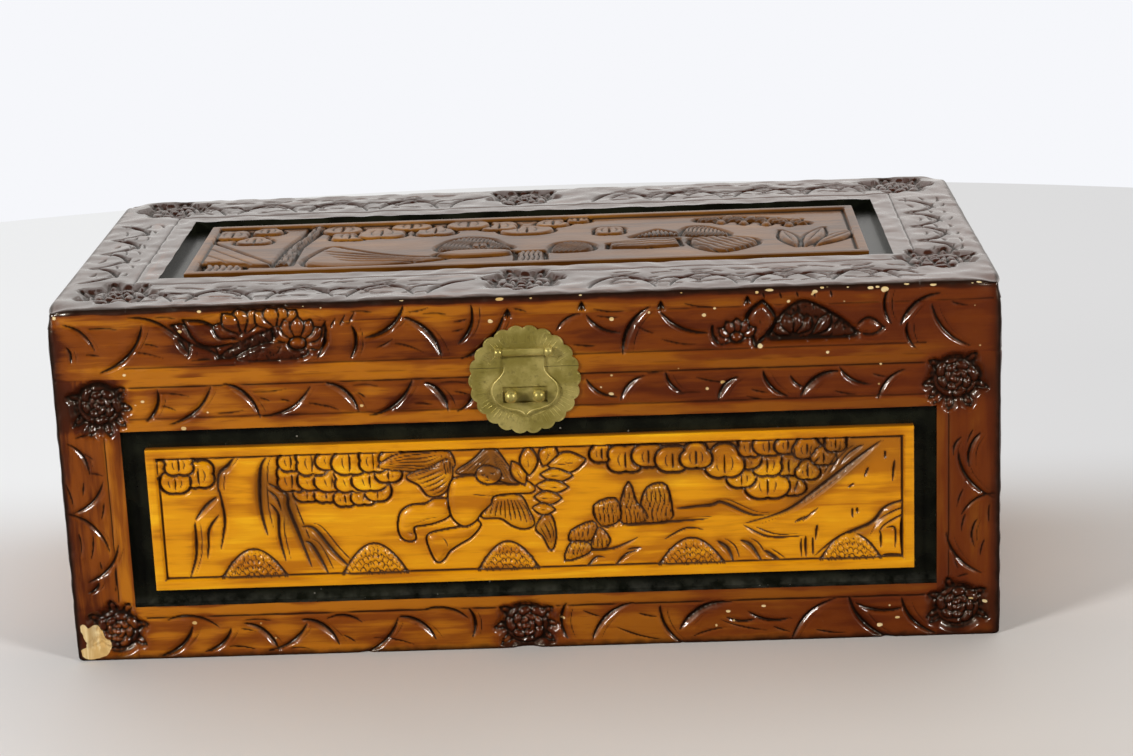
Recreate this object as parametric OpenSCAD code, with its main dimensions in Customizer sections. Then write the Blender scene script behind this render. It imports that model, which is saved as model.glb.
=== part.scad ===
// Carved keepsake box: a framed chest, a hinged lid and a brass hasp.
// X runs along the width, the front faces -Y, and Z = 0 is the face that the box rests on.
// The origin is the middle of that face.

/* [Box] */
// Width of the box, side to side
box_w = 400; // [320:1:480]
// Depth of the box, front to back, without the lock
box_d = 206.5; // [180:0.5:260]
// Height of the chest, up to the seam
chest_h = 126.8; // [105:0.2:160]
// Height of the lid above the seam
lid_h = 31.4; // [29:0.2:44]
// Rounding of the upright corners and of the top edges
edge_r = 3.5; // [1.5:0.1:5]
// Rounding of the bottom edges
foot_r = 1.2; // [0.4:0.1:2]

/* [Walls] */
// Thickness of the walls of the chest and of the lid
wall_t = 12; // [11.5:0.1:15]
// Depth of the black borders of the walls, below the faces of the frames
recess_d = 5; // [3:0.1:6.5]
// Width of the rebates that hold the backing boards
rebate_w = 6; // [4:0.5:9]
// Width of the upright bands, seen from outside
upright_w = 27.6; // [23:0.2:36]
// Height of the bands above the recesses
head_rail_h = 23.1; // [21:0.1:28]
// Height of the bands below the recesses
foot_rail_h = 24.4; // [20:0.1:32]
// Thickness of the floor board
floor_t = 8; // [5:0.5:10]
// Gap between a fitted board and what stands round it
fit_gap = 0.2; // [0.1:0.05:0.4]

/* [Lid] */
// Thickness of the frame on top of the lid
lid_top_t = 9; // [7.5:0.1:11]
// Depth of the black border of the lid
lid_recess_d = 5; // [3:0.1:6]
// Width of the front and back bands of the lid
long_band_w = 48.6; // [38:0.2:58]
// Width of the left and right bands of the lid
short_band_w = 40.5; // [32:0.5:56]

/* [Carved panels] */
// Width of the black border at the ends of a wall panel
border_w = 9.6; // [6:0.1:14]
// Height of the black border above a wall panel
border_head = 8.7; // [5:0.1:12]
// Height of the black border below a wall panel
border_foot = 7.1; // [5:0.1:12]
// Width of the black border round the lid panel
lid_border_w = 9.5; // [6:0.1:14]
// Thickness of a panel, which stands on its backing board
panel_t = 4.3; // [3:0.1:5]
// Width of the raised rim of a panel
rim_w = 3.8; // [2:0.1:6]
// Depth of the carved field below the rim
field_d = 1.4; // [0.5:0.1:2]
// Thickness of the plain panel in the back
back_panel_t = 7; // [5:0.1:8]

/* [Carving of the lid] */
// Height of the scene's forms above the field of the lid panel
relief_h = 0.9; // [0.4:0.1:1.3]
// Depth of the cuts in the front band of the lid
carve_d = 1.8; // [0.6:0.1:2.4]
// Radius of a rosette
rosette_r = 12.5; // [9:0.5:13]
// Distance between like cuts along the band
carve_pitch = 34; // [28:1:44]
// Width of the plain margin between the carving and the opening
plain_margin = 9.5; // [5:0.5:12]

/* [Hinges] */
// Distance of the hinge axis in from the back face
hinge_inset = 3.2; // [3:0.1:3.6]
// Angle at which the bevelled back edges of lid and chest meet
stop_angle = 100; // [92:1:108]
// Distance of the middle of each hinge from the end of the box
hinge_end = 82; // [60:1:130]
// Length of a hinge
hinge_l = 38; // [30:1:50]
// Width of a hinge leaf, from the axis to its edge
leaf_w = 8; // [7:0.1:8.2]
// Thickness of a hinge leaf
leaf_t = 1.2; // [0.8:0.1:1.5]
// Radius of the hinge barrels
knuckle_r = 2.6; // [2.2:0.1:2.8]
// Radius of the hinge pins
pin_r = 1.1; // [0.8:0.1:1.4]
// Radial clearance of a pin in its knuckles
pin_gap = 0.05; // [0.02:0.01:0.09]
// Free gap beside a moving knuckle
knuckle_gap = 0.3; // [0.2:0.05:0.4]
// Number of screws in a hinge leaf
screws = 3; // [2:1:4]
// Distance between the screws of a leaf
screw_pitch = 12; // [6:0.5:12]
// Radius of a screw shank
screw_r = 0.9; // [0.7:0.05:1.1]
// Radius of a screw head
screw_head_r = 1.8; // [1.5:0.05:2]
// Length of a screw
screw_l = 9; // [6:0.5:12]

/* [Lock plate] */
// Diameter over the scallops
plate_dia = 47.3; // [44:0.1:50]
// Thickness of the brass sheet
plate_t = 0.8; // [0.5:0.1:1.2]
// Distance of the middle of the plate below the seam
plate_drop = 5.5; // [3:0.1:8]
// Number of scallops
scallops = 22; // [16:1:28]
// Radius of one scallop
scallop_r = 4; // [3.8:0.1:5]
// Gap between the two halves of the plate
plate_split = 0.2; // [0.1:0.05:0.4]

/* [Hasp] */
// Height of the hasp axis above the seam
hasp_rise = 7.2; // [6.5:0.1:9]
// Distance of the hasp axis in front of the plate
hasp_stand = 2.3; // [2.3:0.1:3]
// Width of the straight neck of the hasp
neck_w = 17.2; // [15:0.1:19]
// Length of the straight neck, from the axis
neck_l = 7; // [5:0.1:9]
// Width of the hasp where it is widest
hasp_w = 29.2; // [27:0.1:32]
// Distance from the axis to the widest place
hasp_waist = 17.5; // [16:0.1:19]
// Distance from the axis to the tip
hasp_l = 28.8; // [28:0.1:32]
// Thickness of the hasp sheet
hasp_t = 0.9; // [0.6:0.1:1]
// Gap between the hasp and the plate behind it
hasp_gap = 0.3; // [0.2:0.05:0.4]
// Radius of the rolled top edge of the hasp
roll_r = 1.6; // [1.4:0.05:1.7]
// Radius of the hasp pin
hasp_pin_r = 0.8; // [0.6:0.05:1]
// Radius of the two eyes that carry the hasp pin
eye_r = 2.2; // [1.9:0.05:2.2]
// Width of an eye along the hasp pin
eye_w = 3.2; // [2:0.1:3.4]
// Distance of the two posts below the hasp axis
post_drop = 18.8; // [18:0.1:19.5]
// Distance between the two posts
post_pitch = 11.7; // [10:0.1:12.5]
// Radius of a post's round head
post_r = 2.8; // [2.5:0.05:2.9]
// Width of a head across its padlock hole
post_w = 4.8; // [4:0.1:5.2]
// Distance of a head's middle in front of the plate
post_stand = 3.6; // [3.4:0.1:4.5]
// Radius of the hole for a padlock bar
lock_hole_r = 1.2; // [0.8:0.05:1.4]
// Gap between the posts and the slot in the hasp
slot_gap = 0.7; // [0.6:0.05:0.9]
// Radius of the shanks of the eyes and posts
shank_r = 1.1; // [0.9:0.05:1.3]
// Length of a leg that is bent over inside
leg_l = 5; // [4:0.1:5.5]

/* [Hidden] */
$fn = 48;

stain = "saddlebrown";
ochre = "goldenrod";
lacquer = [0.06, 0.06, 0.06];
plain_wood = "burlywood";
brass = [0.66, 0.60, 0.32];

// How far a cutting solid runs past what it cuts
past = 1;
total_h = chest_h + lid_h;
half_w = box_w / 2;
half_d = box_d / 2;
front_open = half_w - upright_w;
side_open = half_d - upright_w;
open_low = foot_rail_h;
open_high = chest_h - head_rail_h;
lid_open_x = half_w - short_band_w;
lid_open_y = half_d - long_band_w;
lid_under = total_h - lid_top_t;
hinge_x = half_w - hinge_end;
axis_y = half_d - hinge_inset;
bevel_reach = hinge_inset + past;
pocket_r = knuckle_r + knuckle_gap;
knuckle_l = (hinge_l - 2 * knuckle_gap) / 3;
plate_face = -half_d - plate_t;
plate_z = chest_h - plate_drop;
hasp_z = chest_h + hasp_rise;
hasp_y = plate_face - hasp_stand;
eye_x = neck_w / 2 + knuckle_gap + eye_w / 2;
post_z = hasp_z - post_drop;
leg_t = 0.6;
leg_w = 1.4;
driver_slot_w = 0.5;
driver_slot_d = 0.4;
curve_steps = 8;

field_x = lid_open_x - lid_border_w - rim_w;
field_y = lid_open_y - lid_border_w - rim_w;
// The forms stay below the rim, and their feet stand a little in the panel
relief_up = min(relief_h, field_d - 0.1);
relief_foot = 0.4;

// Middles of the rosettes on the front band: left corner, middle and right corner
rosettes = [[0.64 * short_band_w - half_w, -lid_open_y - 0.46 * long_band_w],
    [0, -lid_open_y - 0.45 * long_band_w],
    [half_w - 0.57 * short_band_w, -lid_open_y - 0.15 * long_band_w]];
petals = 6;
// Parts of a rosette, in shares of its radius
ring_in = 0.84;
hollow_out = 0.34;
button_out = 0.22;
petal_at = 0.58;
// A bowed cut: its chord as a share of the band's width, how far its two edges rise as shares of
// the chord, and its slant
bow_reach = 0.82;
bow_outer = 0.26;
bow_inner = 0.12;
bow_slant = 48;
band_low = edge_r - half_d;
band_high = -lid_open_y - plain_margin;

// Outlines of the lid's scene from left to right, in shares of half the length and width of its
// field. What passes 1 runs in under the rim.
roof = [[-1.02, 0.5], [-0.76, -0.76], [-0.84, -0.72], [-0.94, -0.56], [-1.02, -0.62]];
pavilion = [[-0.98, -0.6], [-0.86, -0.7], [-0.85, -1.04], [-0.98, -1.04]];
trunk = [[-0.77, -0.72], [-0.75, 0.05], [-0.715, 0.62], [-0.7, 1.04], [-0.65, 1.04],
    [-0.68, 0.6], [-0.715, 0.05], [-0.72, -0.72]];
bank = [[-0.68, -0.66], [-0.62, 0], [-0.55, -0.12], [-0.46, -0.36], [-0.34, -0.55],
    [-0.24, -0.64], [-0.34, -0.78], [-0.48, -0.88], [-0.6, -0.86]];
boulder = [[-0.27, -0.3], [-0.25, 0.1], [-0.19, 0.26], [-0.12, 0.16], [-0.08, -0.1], [-0.06, -0.3]];
sitter = [[-0.28, -0.56], [-0.24, -0.38], [-0.14, -0.34], [-0.05, -0.42], [-0.06, -0.58], [-0.18, -0.64]];
fall = [[-0.03, -0.45], [0.05, -0.45], [0.06, -1.04], [-0.03, -1.04]];
shrub = [[0.07, -0.44], [0.09, -0.16], [0.15, -0.1], [0.2, -0.28], [0.19, -0.5], [0.1, -0.54]];
gable = [[0.32, 0.04], [0.4, 0.34], [0.49, 0.04]];
low_wall = [[0.25, -0.24], [0.36, -0.12], [0.46, -0.1], [0.47, -0.42], [0.36, -0.48], [0.25, -0.44]];
crag = [[0.48, 0.04], [0.5, 0.42], [0.57, 0.34], [0.62, -0.02]];
ledge = [[0.5, -0.16], [0.58, -0.1], [0.68, -0.2], [0.7, -0.45], [0.6, -0.76], [0.52, -0.54]];
bough = [[0.54, 0.66], [0.7, 0.6], [0.84, 0.38], [0.87, 0.46], [0.73, 0.76], [0.55, 0.82]];
outlines = [roof, pavilion, trunk, bank, boulder, sitter, fall, shrub, gable, low_wall, crag, ledge,
    bough];

// Rounded clumps of leaves: place and radius, the radius in shares of half the field's width
clumps = [[-0.95, 0.74, 0.2], [-0.87, 0.44, 0.17], [-0.84, 0.86, 0.16],
    [-0.6, 0.86, 0.22], [-0.57, 0.5, 0.18], [-0.47, 0.62, 0.24], [-0.38, 0.9, 0.2],
    [-0.3, 0.64, 0.22], [-0.2, 0.88, 0.22], [-0.1, 0.76, 0.2], [-0.01, 0.52, 0.22],
    [0.07, 0.84, 0.2], [0.15, 0.94, 0.14], [0.25, 0.36, 0.17], [-0.15, -0.14, 0.09]];

// Blades of grass at the right end: foot, angle and length, the length in shares of half the
// width. Their edges rise by a share of the length.
blade_rise = 0.12;
blades = [[0.82, -0.66, 100, 0.8], [0.84, -0.66, 72, 0.9], [0.87, -0.66, 52, 0.9]];

// Basic shapes

module slab(low, high)
    translate(low)
        cube(high - low);

module along_x(length)
    rotate([90, 0, 90])
        linear_extrude(length, center = true)
            children();

module rod_x(radius, length)
    rotate([0, 90, 0])
        cylinder(r = radius, h = length, center = true);

// A shank that runs from the front face inwards
module rod_in(radius, length)
    rotate([-90, 0, 0])
        cylinder(r = radius, h = length);

module rounded_plan(w, d, r) {
    square([w - 2 * r, d], center = true);
    square([w, d - 2 * r], center = true);
    for (sx = [-1, 1], sy = [-1, 1])
        translate([sx * (w / 2 - r), sy * (d / 2 - r)])
            circle(r);
}

// Upright outline of width w, with its top corners rounder than its foot
module upright_outline(w) {
    translate([-w / 2, foot_r])
        square([w, total_h - edge_r - foot_r]);
    translate([-w / 2 + edge_r, foot_r])
        square([w - 2 * edge_r, total_h - foot_r]);
    translate([-w / 2 + foot_r, 0])
        square([w - 2 * foot_r, total_h / 2]);
    for (s = [-1, 1]) {
        translate([s * (w / 2 - edge_r), total_h - edge_r])
            circle(edge_r);
        translate([s * (w / 2 - foot_r), foot_r])
            circle(foot_r);
    }
}

// The closed box's outside, which every board is cut to
module box_form()
    difference() {
        intersection() {
            linear_extrude(total_h)
                rounded_plan(box_w, box_d, edge_r);
            rotate([90, 0, 0])
                linear_extrude(box_d, center = true)
                    upright_outline(box_w);
            along_x(box_w)
                upright_outline(box_d);
        }
        stop_bevel();
    }

// Wedge along the back of the seam, with its edge on the hinge axis
module stop_bevel()
    translate([0, axis_y, chest_h])
        along_x(box_w + past)
            polygon([[0, 0],
                [bevel_reach, bevel_reach * tan(stop_angle / 2)],
                [bevel_reach, -bevel_reach * tan(stop_angle / 2)]]);

module in_form()
    intersection() {
        children();
        box_form();
    }

// Walls of the chest. A wall is drawn as the front one: along runs on X and its outer face is at
// -Y, as far from the middle as face says. Side walls are then turned into place.

module to_left()
    rotate([0, 0, -90])
        children();

module to_right()
    rotate([0, 0, 90])
        children();

module to_back()
    rotate([0, 0, 180])
        children();

module wall_slab(along, depth, height, face)
    slab([along[0], depth[0] - face, height[0]], [along[1], depth[1] - face, height[1]]);

module rebate(open, face)
    wall_slab([-open - rebate_w, open + rebate_w], [recess_d, wall_t + past],
        [open_low - rebate_w, open_high + rebate_w], face);

module stile(side, half, open, face)
    difference() {
        wall_slab(side > 0 ? [open, half] : [-half, -open], [0, wall_t], [0, chest_h], face);
        rebate(open, face);
    }

module foot_rail(open, face)
    difference() {
        wall_slab([-open, open], [0, wall_t], [0, open_low], face);
        rebate(open, face);
    }

module head_rail(open, face)
    difference() {
        wall_slab([-open, open], [0, wall_t], [open_high, chest_h], face);
        rebate(open, face);
    }

module backing_board(open, face) {
    reach = open + rebate_w - fit_gap;
    wall_slab([-reach, reach], [recess_d, wall_t],
        [open_low - rebate_w + fit_gap, open_high + rebate_w - fit_gap], face);
}

// A carved panel's blank: a raised rim round a lowered field
module wall_panel(open, face) {
    reach = open - border_w;
    low = open_low + border_foot;
    high = open_high - border_head;
    difference() {
        wall_slab([-reach, reach], [recess_d - panel_t, recess_d], [low, high], face);
        wall_slab([-reach + rim_w, reach - rim_w],
            [recess_d - panel_t - past, recess_d - panel_t + field_d],
            [low + rim_w, high - rim_w], face);
    }
}

module front_left_stile()
    color(stain)
        in_form()
            stile(-1, half_w, front_open, half_d);

module front_right_stile()
    color(stain)
        in_form()
            stile(1, half_w, front_open, half_d);

module front_head_rail()
    color(stain)
        difference() {
            in_form()
                head_rail(front_open, half_d);
            post_holes();
        }

module front_foot_rail()
    color(stain)
        in_form()
            foot_rail(front_open, half_d);

module front_backing_board()
    color(lacquer)
        backing_board(front_open, half_d);

module front_carved_panel()
    color(ochre)
        wall_panel(front_open, half_d);

module side_stile(side)
    stile(side, half_d - wall_t, side_open, half_w);

module left_front_stile()
    color(stain)
        in_form()
            to_left()
                side_stile(1);

module left_back_stile()
    color(stain)
        in_form()
            to_left()
                side_stile(-1);

module left_head_rail()
    color(stain)
        in_form()
            to_left()
                head_rail(side_open, half_w);

module left_foot_rail()
    color(stain)
        in_form()
            to_left()
                foot_rail(side_open, half_w);

module left_backing_board()
    color(lacquer)
        to_left()
            backing_board(side_open, half_w);

module left_carved_panel()
    color(ochre)
        to_left()
            wall_panel(side_open, half_w);

module right_front_stile()
    color(stain)
        in_form()
            to_right()
                side_stile(-1);

module right_back_stile()
    color(stain)
        in_form()
            to_right()
                side_stile(1);

module right_head_rail()
    color(stain)
        in_form()
            to_right()
                head_rail(side_open, half_w);

module right_foot_rail()
    color(stain)
        in_form()
            to_right()
                foot_rail(side_open, half_w);

module right_backing_board()
    color(lacquer)
        to_right()
            backing_board(side_open, half_w);

module right_carved_panel()
    color(ochre)
        to_right()
            wall_panel(side_open, half_w);

module back_left_stile()
    color(stain)
        in_form()
            to_back()
                stile(1, half_w, front_open, half_d);

module back_right_stile()
    color(stain)
        in_form()
            to_back()
                stile(-1, half_w, front_open, half_d);

module back_head_rail()
    color(stain)
        difference() {
            in_form()
                to_back()
                    head_rail(front_open, half_d);
            hinge_mortises(-1);
        }

module back_foot_rail()
    color(stain)
        in_form()
            to_back()
                foot_rail(front_open, half_d);

// The back has one plain panel, which stands in the rebate
module back_panel()
    color(stain)
        to_back() {
            reach = front_open + rebate_w - fit_gap;
            low = open_low - rebate_w + fit_gap;
            wall_slab([-reach, reach], [recess_d, min(recess_d + back_panel_t, wall_t)],
                [low, open_high + rebate_w - fit_gap], half_d);
        }

module floor_board()
    color(plain_wood) {
        x = half_w - wall_t - fit_gap;
        y = half_d - wall_t - fit_gap;
        slab([-x, -y, 0], [x, y, floor_t]);
    }

// Lid

module lid_front_board()
    color(stain)
        difference() {
            in_form()
                slab([-half_w, -half_d, chest_h], [half_w, wall_t - half_d, lid_under]);
            eye_holes();
        }

module lid_back_board()
    color(stain)
        difference() {
            in_form()
                slab([-half_w, half_d - wall_t, chest_h], [half_w, half_d, lid_under]);
            hinge_mortises(1);
        }

module lid_left_board()
    color(stain)
        in_form()
            slab([-half_w, wall_t - half_d, chest_h], [wall_t - half_w, half_d - wall_t, lid_under]);

module lid_right_board()
    color(stain)
        in_form()
            slab([half_w - wall_t, wall_t - half_d, chest_h], [half_w, half_d - wall_t, lid_under]);

module lid_rebate()
    slab([-lid_open_x - rebate_w, -lid_open_y - rebate_w, lid_under - past],
        [lid_open_x + rebate_w, lid_open_y + rebate_w, total_h - lid_recess_d]);

// A disc whose edge rises so far over a chord along X
module arc_disc(chord, rise) {
    r = (chord * chord / 4 + rise * rise) / (2 * rise);
    translate([0, rise - r])
        circle(r);
}

// The area between two arcs over one chord
module crescent(chord, outer, inner)
    difference() {
        arc_disc(chord, outer);
        arc_disc(chord, inner);
    }

module ring(outer, inner)
    difference() {
        circle(outer);
        circle(inner);
    }

// What is cut away around a rosette, its petals and its button
module rosette_cuts() {
    ring(rosette_r, ring_in * rosette_r);
    ring(hollow_out * rosette_r, button_out * rosette_r);
    for (i = [0 : petals - 1])
        rotate(i * 360 / petals)
            translate([petal_at * rosette_r, 0])
                crescent(petal_at * rosette_r, 0.2 * rosette_r, 0.06 * rosette_r);
}

// Bowed cuts that rise and fall by turns, from the middle rosette to a corner
module zigzag_cuts() {
    chord = bow_reach * (band_high - band_low);
    first = rosette_r + 0.75 * chord;
    last = half_w - short_band_w - 0.25 * chord;
    middle = (bow_outer + bow_inner) / 2;
    for (side = [-1, 1], x = [first : carve_pitch : last], turn = [0, 1])
        if (x + turn * carve_pitch / 2 < last)
            translate([side * (x + turn * carve_pitch / 2), (band_low + band_high) / 2])
                rotate(turn > 0 ? -bow_slant : bow_slant)
                    translate([0, -middle * chord])
                        crescent(chord, bow_outer * chord, bow_inner * chord);
}

module band_carving()
    translate([0, 0, total_h - carve_d])
        linear_extrude(carve_d + past) {
            for (at = rosettes)
                translate(at)
                    rosette_cuts();
            zigzag_cuts();
        }

module lid_top_rail(low, high)
    color(stain)
        difference() {
            in_form()
                slab([low[0], low[1], lid_under], [high[0], high[1], total_h]);
            lid_rebate();
            band_carving();
        }

module lid_top_front_rail()
    lid_top_rail([-half_w, -half_d], [half_w, -lid_open_y]);

module lid_top_back_rail()
    lid_top_rail([-half_w, lid_open_y], [half_w, half_d]);

module lid_top_left_rail()
    lid_top_rail([-half_w, -lid_open_y], [-lid_open_x, lid_open_y]);

module lid_top_right_rail()
    lid_top_rail([lid_open_x, -lid_open_y], [half_w, lid_open_y]);

module lid_backing_board()
    color(lacquer) {
        x = lid_open_x + rebate_w - fit_gap;
        y = lid_open_y + rebate_w - fit_gap;
        slab([-x, -y, lid_under], [x, y, total_h - lid_recess_d]);
    }

// A pointed leaf with its ends on X, half at a time
module blade(length)
    for (side = [0, 1])
        mirror([0, side])
            intersection() {
                arc_disc(length, blade_rise * length);
                translate([-length, 0])
                    square(2 * length);
            }

module scene_outlines() {
    for (points = outlines)
        polygon([for (p = points) [p[0] * field_x, p[1] * field_y]]);
    for (c = clumps)
        translate([c[0] * field_x, c[1] * field_y])
            circle(c[2] * field_y);
    for (b = blades)
        translate([b[0] * field_x, b[1] * field_y])
            rotate(b[2])
                translate([b[3] * field_y / 2, 0])
                    blade(b[3] * field_y);
}

// Low forms that stand on the field of the lid panel and run in under its rim
module lid_scene(field_z)
    translate([0, 0, field_z - relief_foot])
        linear_extrude(relief_foot + relief_up)
            intersection() {
                scene_outlines();
                square([2 * field_x + rim_w, 2 * field_y + rim_w], center = true);
            }

module lid_carved_panel()
    color(ochre) {
        x = lid_open_x - lid_border_w;
        y = lid_open_y - lid_border_w;
        base = total_h - lid_recess_d;
        difference() {
            slab([-x, -y, base], [x, y, base + panel_t]);
            slab([rim_w - x, rim_w - y, base + panel_t - field_d],
                [x - rim_w, y - rim_w, base + panel_t + past]);
        }
        lid_scene(base + panel_t - field_d);
    }

// Hinges. up is 1 for the lid's half and -1 for the chest's half.

module at_hinges()
    for (s = [-1, 1])
        translate([s * hinge_x, axis_y, chest_h])
            children();

module at_screws(up)
    for (i = [0 : screws - 1])
        translate([(i - (screws - 1) / 2) * screw_pitch, screw_head_r - leaf_w + 0.5, 0])
            rotate([up > 0 ? 0 : 180, 0, 0])
                children();

// A countersunk screw that points up from the seam, with room added round it
module screw_shape(room) {
    cylinder(r = screw_r + room, h = screw_l + room);
    cylinder(r1 = screw_head_r + room, r2 = screw_r + room, h = leaf_t);
}

module hinge_mortises(up)
    at_hinges() {
        rod_x(pocket_r, hinge_l + 2 * fit_gap);
        slab([-hinge_l / 2 - fit_gap, -leaf_w - fit_gap, up > 0 ? -past : -leaf_t],
            [hinge_l / 2 + fit_gap, 0, up > 0 ? leaf_t : past]);
        at_screws(up)
            screw_shape(pin_gap);
    }

module knuckle(x)
    translate([x, 0, 0])
        rod_x(knuckle_r, knuckle_l);

// One leaf with its own knuckles, cleared round the other leaf's knuckles
module leaf(up) {
    pitch = knuckle_l + knuckle_gap;
    own = up > 0 ? [0] : [-pitch, pitch];
    other = up > 0 ? [-pitch, pitch] : [0];
    color(brass)
        difference() {
            union() {
                slab([-hinge_l / 2, -leaf_w, up > 0 ? 0 : -leaf_t],
                    [hinge_l / 2, 0, up > 0 ? leaf_t : 0]);
                for (x = own)
                    knuckle(x);
            }
            for (x = other)
                translate([x, 0, 0])
                    rod_x(pocket_r, knuckle_l + 2 * knuckle_gap);
            rod_x(pin_r + pin_gap, hinge_l + past);
            at_screws(up)
                screw_shape(pin_gap);
        }
}

module left_hinge_chest_leaf()
    translate([-hinge_x, axis_y, chest_h])
        leaf(-1);

module right_hinge_chest_leaf()
    translate([hinge_x, axis_y, chest_h])
        leaf(-1);

module left_hinge_lid_leaf()
    translate([-hinge_x, axis_y, chest_h])
        leaf(1);

module right_hinge_lid_leaf()
    translate([hinge_x, axis_y, chest_h])
        leaf(1);

module hinge_pins()
    color(brass)
        at_hinges()
            rod_x(pin_r, hinge_l);

module hinge_screws(up)
    color(brass)
        at_hinges()
            at_screws(up)
                difference() {
                    screw_shape(0);
                    translate([-screw_head_r, -driver_slot_w / 2, -past])
                        cube([2 * screw_head_r, driver_slot_w, driver_slot_d + past]);
                }

module chest_hinge_screws()
    hinge_screws(-1);

module lid_hinge_screws()
    hinge_screws(1);

// Lock plate, in two halves that part at the seam

module plate_outline() {
    ring = plate_dia / 2 - scallop_r;
    circle(ring);
    for (i = [0 : scallops - 1])
        rotate(i * 360 / scallops)
            translate([ring, 0])
                circle(scallop_r);
}

// Half of the plate, between two heights
module plate_half(low, high)
    translate([0, -half_d, 0])
        rotate([90, 0, 0])
            linear_extrude(plate_t)
                intersection() {
                    translate([0, plate_z])
                        plate_outline();
                    translate([-plate_dia, low])
                        square([2 * plate_dia, high - low]);
                }

module lower_lock_plate()
    color(brass)
        difference() {
            plate_half(plate_z - plate_dia, chest_h - plate_split / 2);
            post_holes();
        }

module upper_lock_plate()
    color(brass)
        difference() {
            plate_half(chest_h + plate_split / 2, plate_z + plate_dia);
            eye_holes();
        }

// Eyes and posts. Each has a round head, a shank through the wall, and two legs bent over inside.

module at_posts()
    for (s = [-1, 1])
        translate([s * post_pitch / 2, 0, post_z])
            children();

module at_eyes()
    for (s = [-1, 1])
        translate([s * eye_x, 0, hasp_z])
            children();

module shank_hole()
    translate([0, plate_face - past, 0])
        rod_in(shank_r + pin_gap, plate_t + wall_t + 2 * past);

module post_holes()
    at_posts()
        shank_hole();

module eye_holes()
    at_eyes()
        shank_hole();

// The shank from a head's middle to the inside of the wall, with its legs
module split_shank(stand) {
    translate([0, plate_face - stand, 0])
        rod_in(shank_r, stand + plate_t + wall_t + leg_t);
    slab([-leg_w / 2, wall_t - half_d, -leg_l], [leg_w / 2, wall_t - half_d + leg_t, leg_l]);
}

// A ball cut flat on both sides of its cross hole
module round_head(radius, width, stand)
    translate([0, plate_face - stand, 0])
        intersection() {
            sphere(radius);
            cube([width, 3 * radius, 3 * radius], center = true);
        }

module padlock_posts()
    color(brass)
        at_posts()
            difference() {
                union() {
                    round_head(post_r, post_w, post_stand);
                    split_shank(post_stand);
                }
                translate([0, plate_face - post_stand, 0])
                    rod_x(lock_hole_r, post_w + past);
            }

module hasp_eyes()
    color(brass)
        at_eyes()
            difference() {
                union() {
                    round_head(eye_r, eye_w, hasp_stand);
                    split_shank(hasp_stand);
                }
                translate([0, plate_face - hasp_stand, 0])
                    rod_x(hasp_pin_r + pin_gap, eye_w + past);
            }

module hasp_pin()
    color(brass)
        translate([0, hasp_y, hasp_z])
            rod_x(hasp_pin_r, 2 * eye_x + eye_w);

function bezier(p, t) =
    pow(1 - t, 3) * p[0] + 3 * t * pow(1 - t, 2) * p[1] + 3 * t * t * (1 - t) * p[2] + pow(t, 3) * p[3];
function curve(p) = [for (i = [0 : curve_steps]) bezier(p, i / curve_steps)];
function mirrored(points) = [for (i = [len(points) - 1 : -1 : 0]) [-points[i][0], points[i][1]]];

// Half of the hasp's outline below its axis: a straight neck, a concave shoulder, a round side
// and an ogee tip
module hasp_outline() {
    neck = neck_w / 2;
    wide = hasp_w / 2;
    chin = hasp_l - 2.9;
    half = concat([[neck, 0]],
        curve([[neck, -neck_l], [neck, -neck_l - 5], [wide, 5 - hasp_waist], [wide, -hasp_waist]]),
        curve([[wide, -hasp_waist], [wide, -hasp_waist - 5], [wide - 5, 0.6 - chin], [5, -chin]]),
        curve([[5, -chin], [2.4, -chin - 0.4], [1.2, 1.5 - hasp_l], [0, -hasp_l]]));
    polygon(concat(half, mirrored(half)));
}

module hasp() {
    slot_h = 2 * (post_r + slot_gap);
    slot_w = post_pitch + slot_h;
    sheet_back = hasp_stand - hasp_gap;
    color(brass)
        translate([0, hasp_y, hasp_z])
            difference() {
                union() {
                    translate([0, sheet_back, 0])
                        rotate([90, 0, 0])
                            linear_extrude(hasp_t)
                                difference() {
                                    hasp_outline();
                                    translate([-slot_w / 2, -post_drop - slot_h / 2])
                                        square([slot_w, slot_h]);
                                }
                    rod_x(roll_r, neck_w);
                }
                rod_x(hasp_pin_r + pin_gap, neck_w + past);
            }
}

front_left_stile();
front_right_stile();
front_head_rail();
front_foot_rail();
front_backing_board();
front_carved_panel();
left_front_stile();
left_back_stile();
left_head_rail();
left_foot_rail();
left_backing_board();
left_carved_panel();
right_front_stile();
right_back_stile();
right_head_rail();
right_foot_rail();
right_backing_board();
right_carved_panel();
back_left_stile();
back_right_stile();
back_head_rail();
back_foot_rail();
back_panel();
floor_board();
lower_lock_plate();
padlock_posts();
left_hinge_chest_leaf();
right_hinge_chest_leaf();
hinge_pins();
chest_hinge_screws();
lid_front_board();
lid_back_board();
lid_left_board();
lid_right_board();
lid_top_front_rail();
lid_top_back_rail();
lid_top_left_rail();
lid_top_right_rail();
lid_backing_board();
lid_carved_panel();
upper_lock_plate();
hasp_eyes();
hasp_pin();
left_hinge_lid_leaf();
right_hinge_lid_leaf();
lid_hinge_screws();
hasp();
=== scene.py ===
"""Looks of the keepsake box: carved boards and panels, lacquer and brass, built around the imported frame.

Lengths are in millimetres up to the moment a mesh is made. x runs to the right, y to the back, z up.
"""
import math

import bpy
import numpy as np
from mathutils import Matrix

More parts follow.
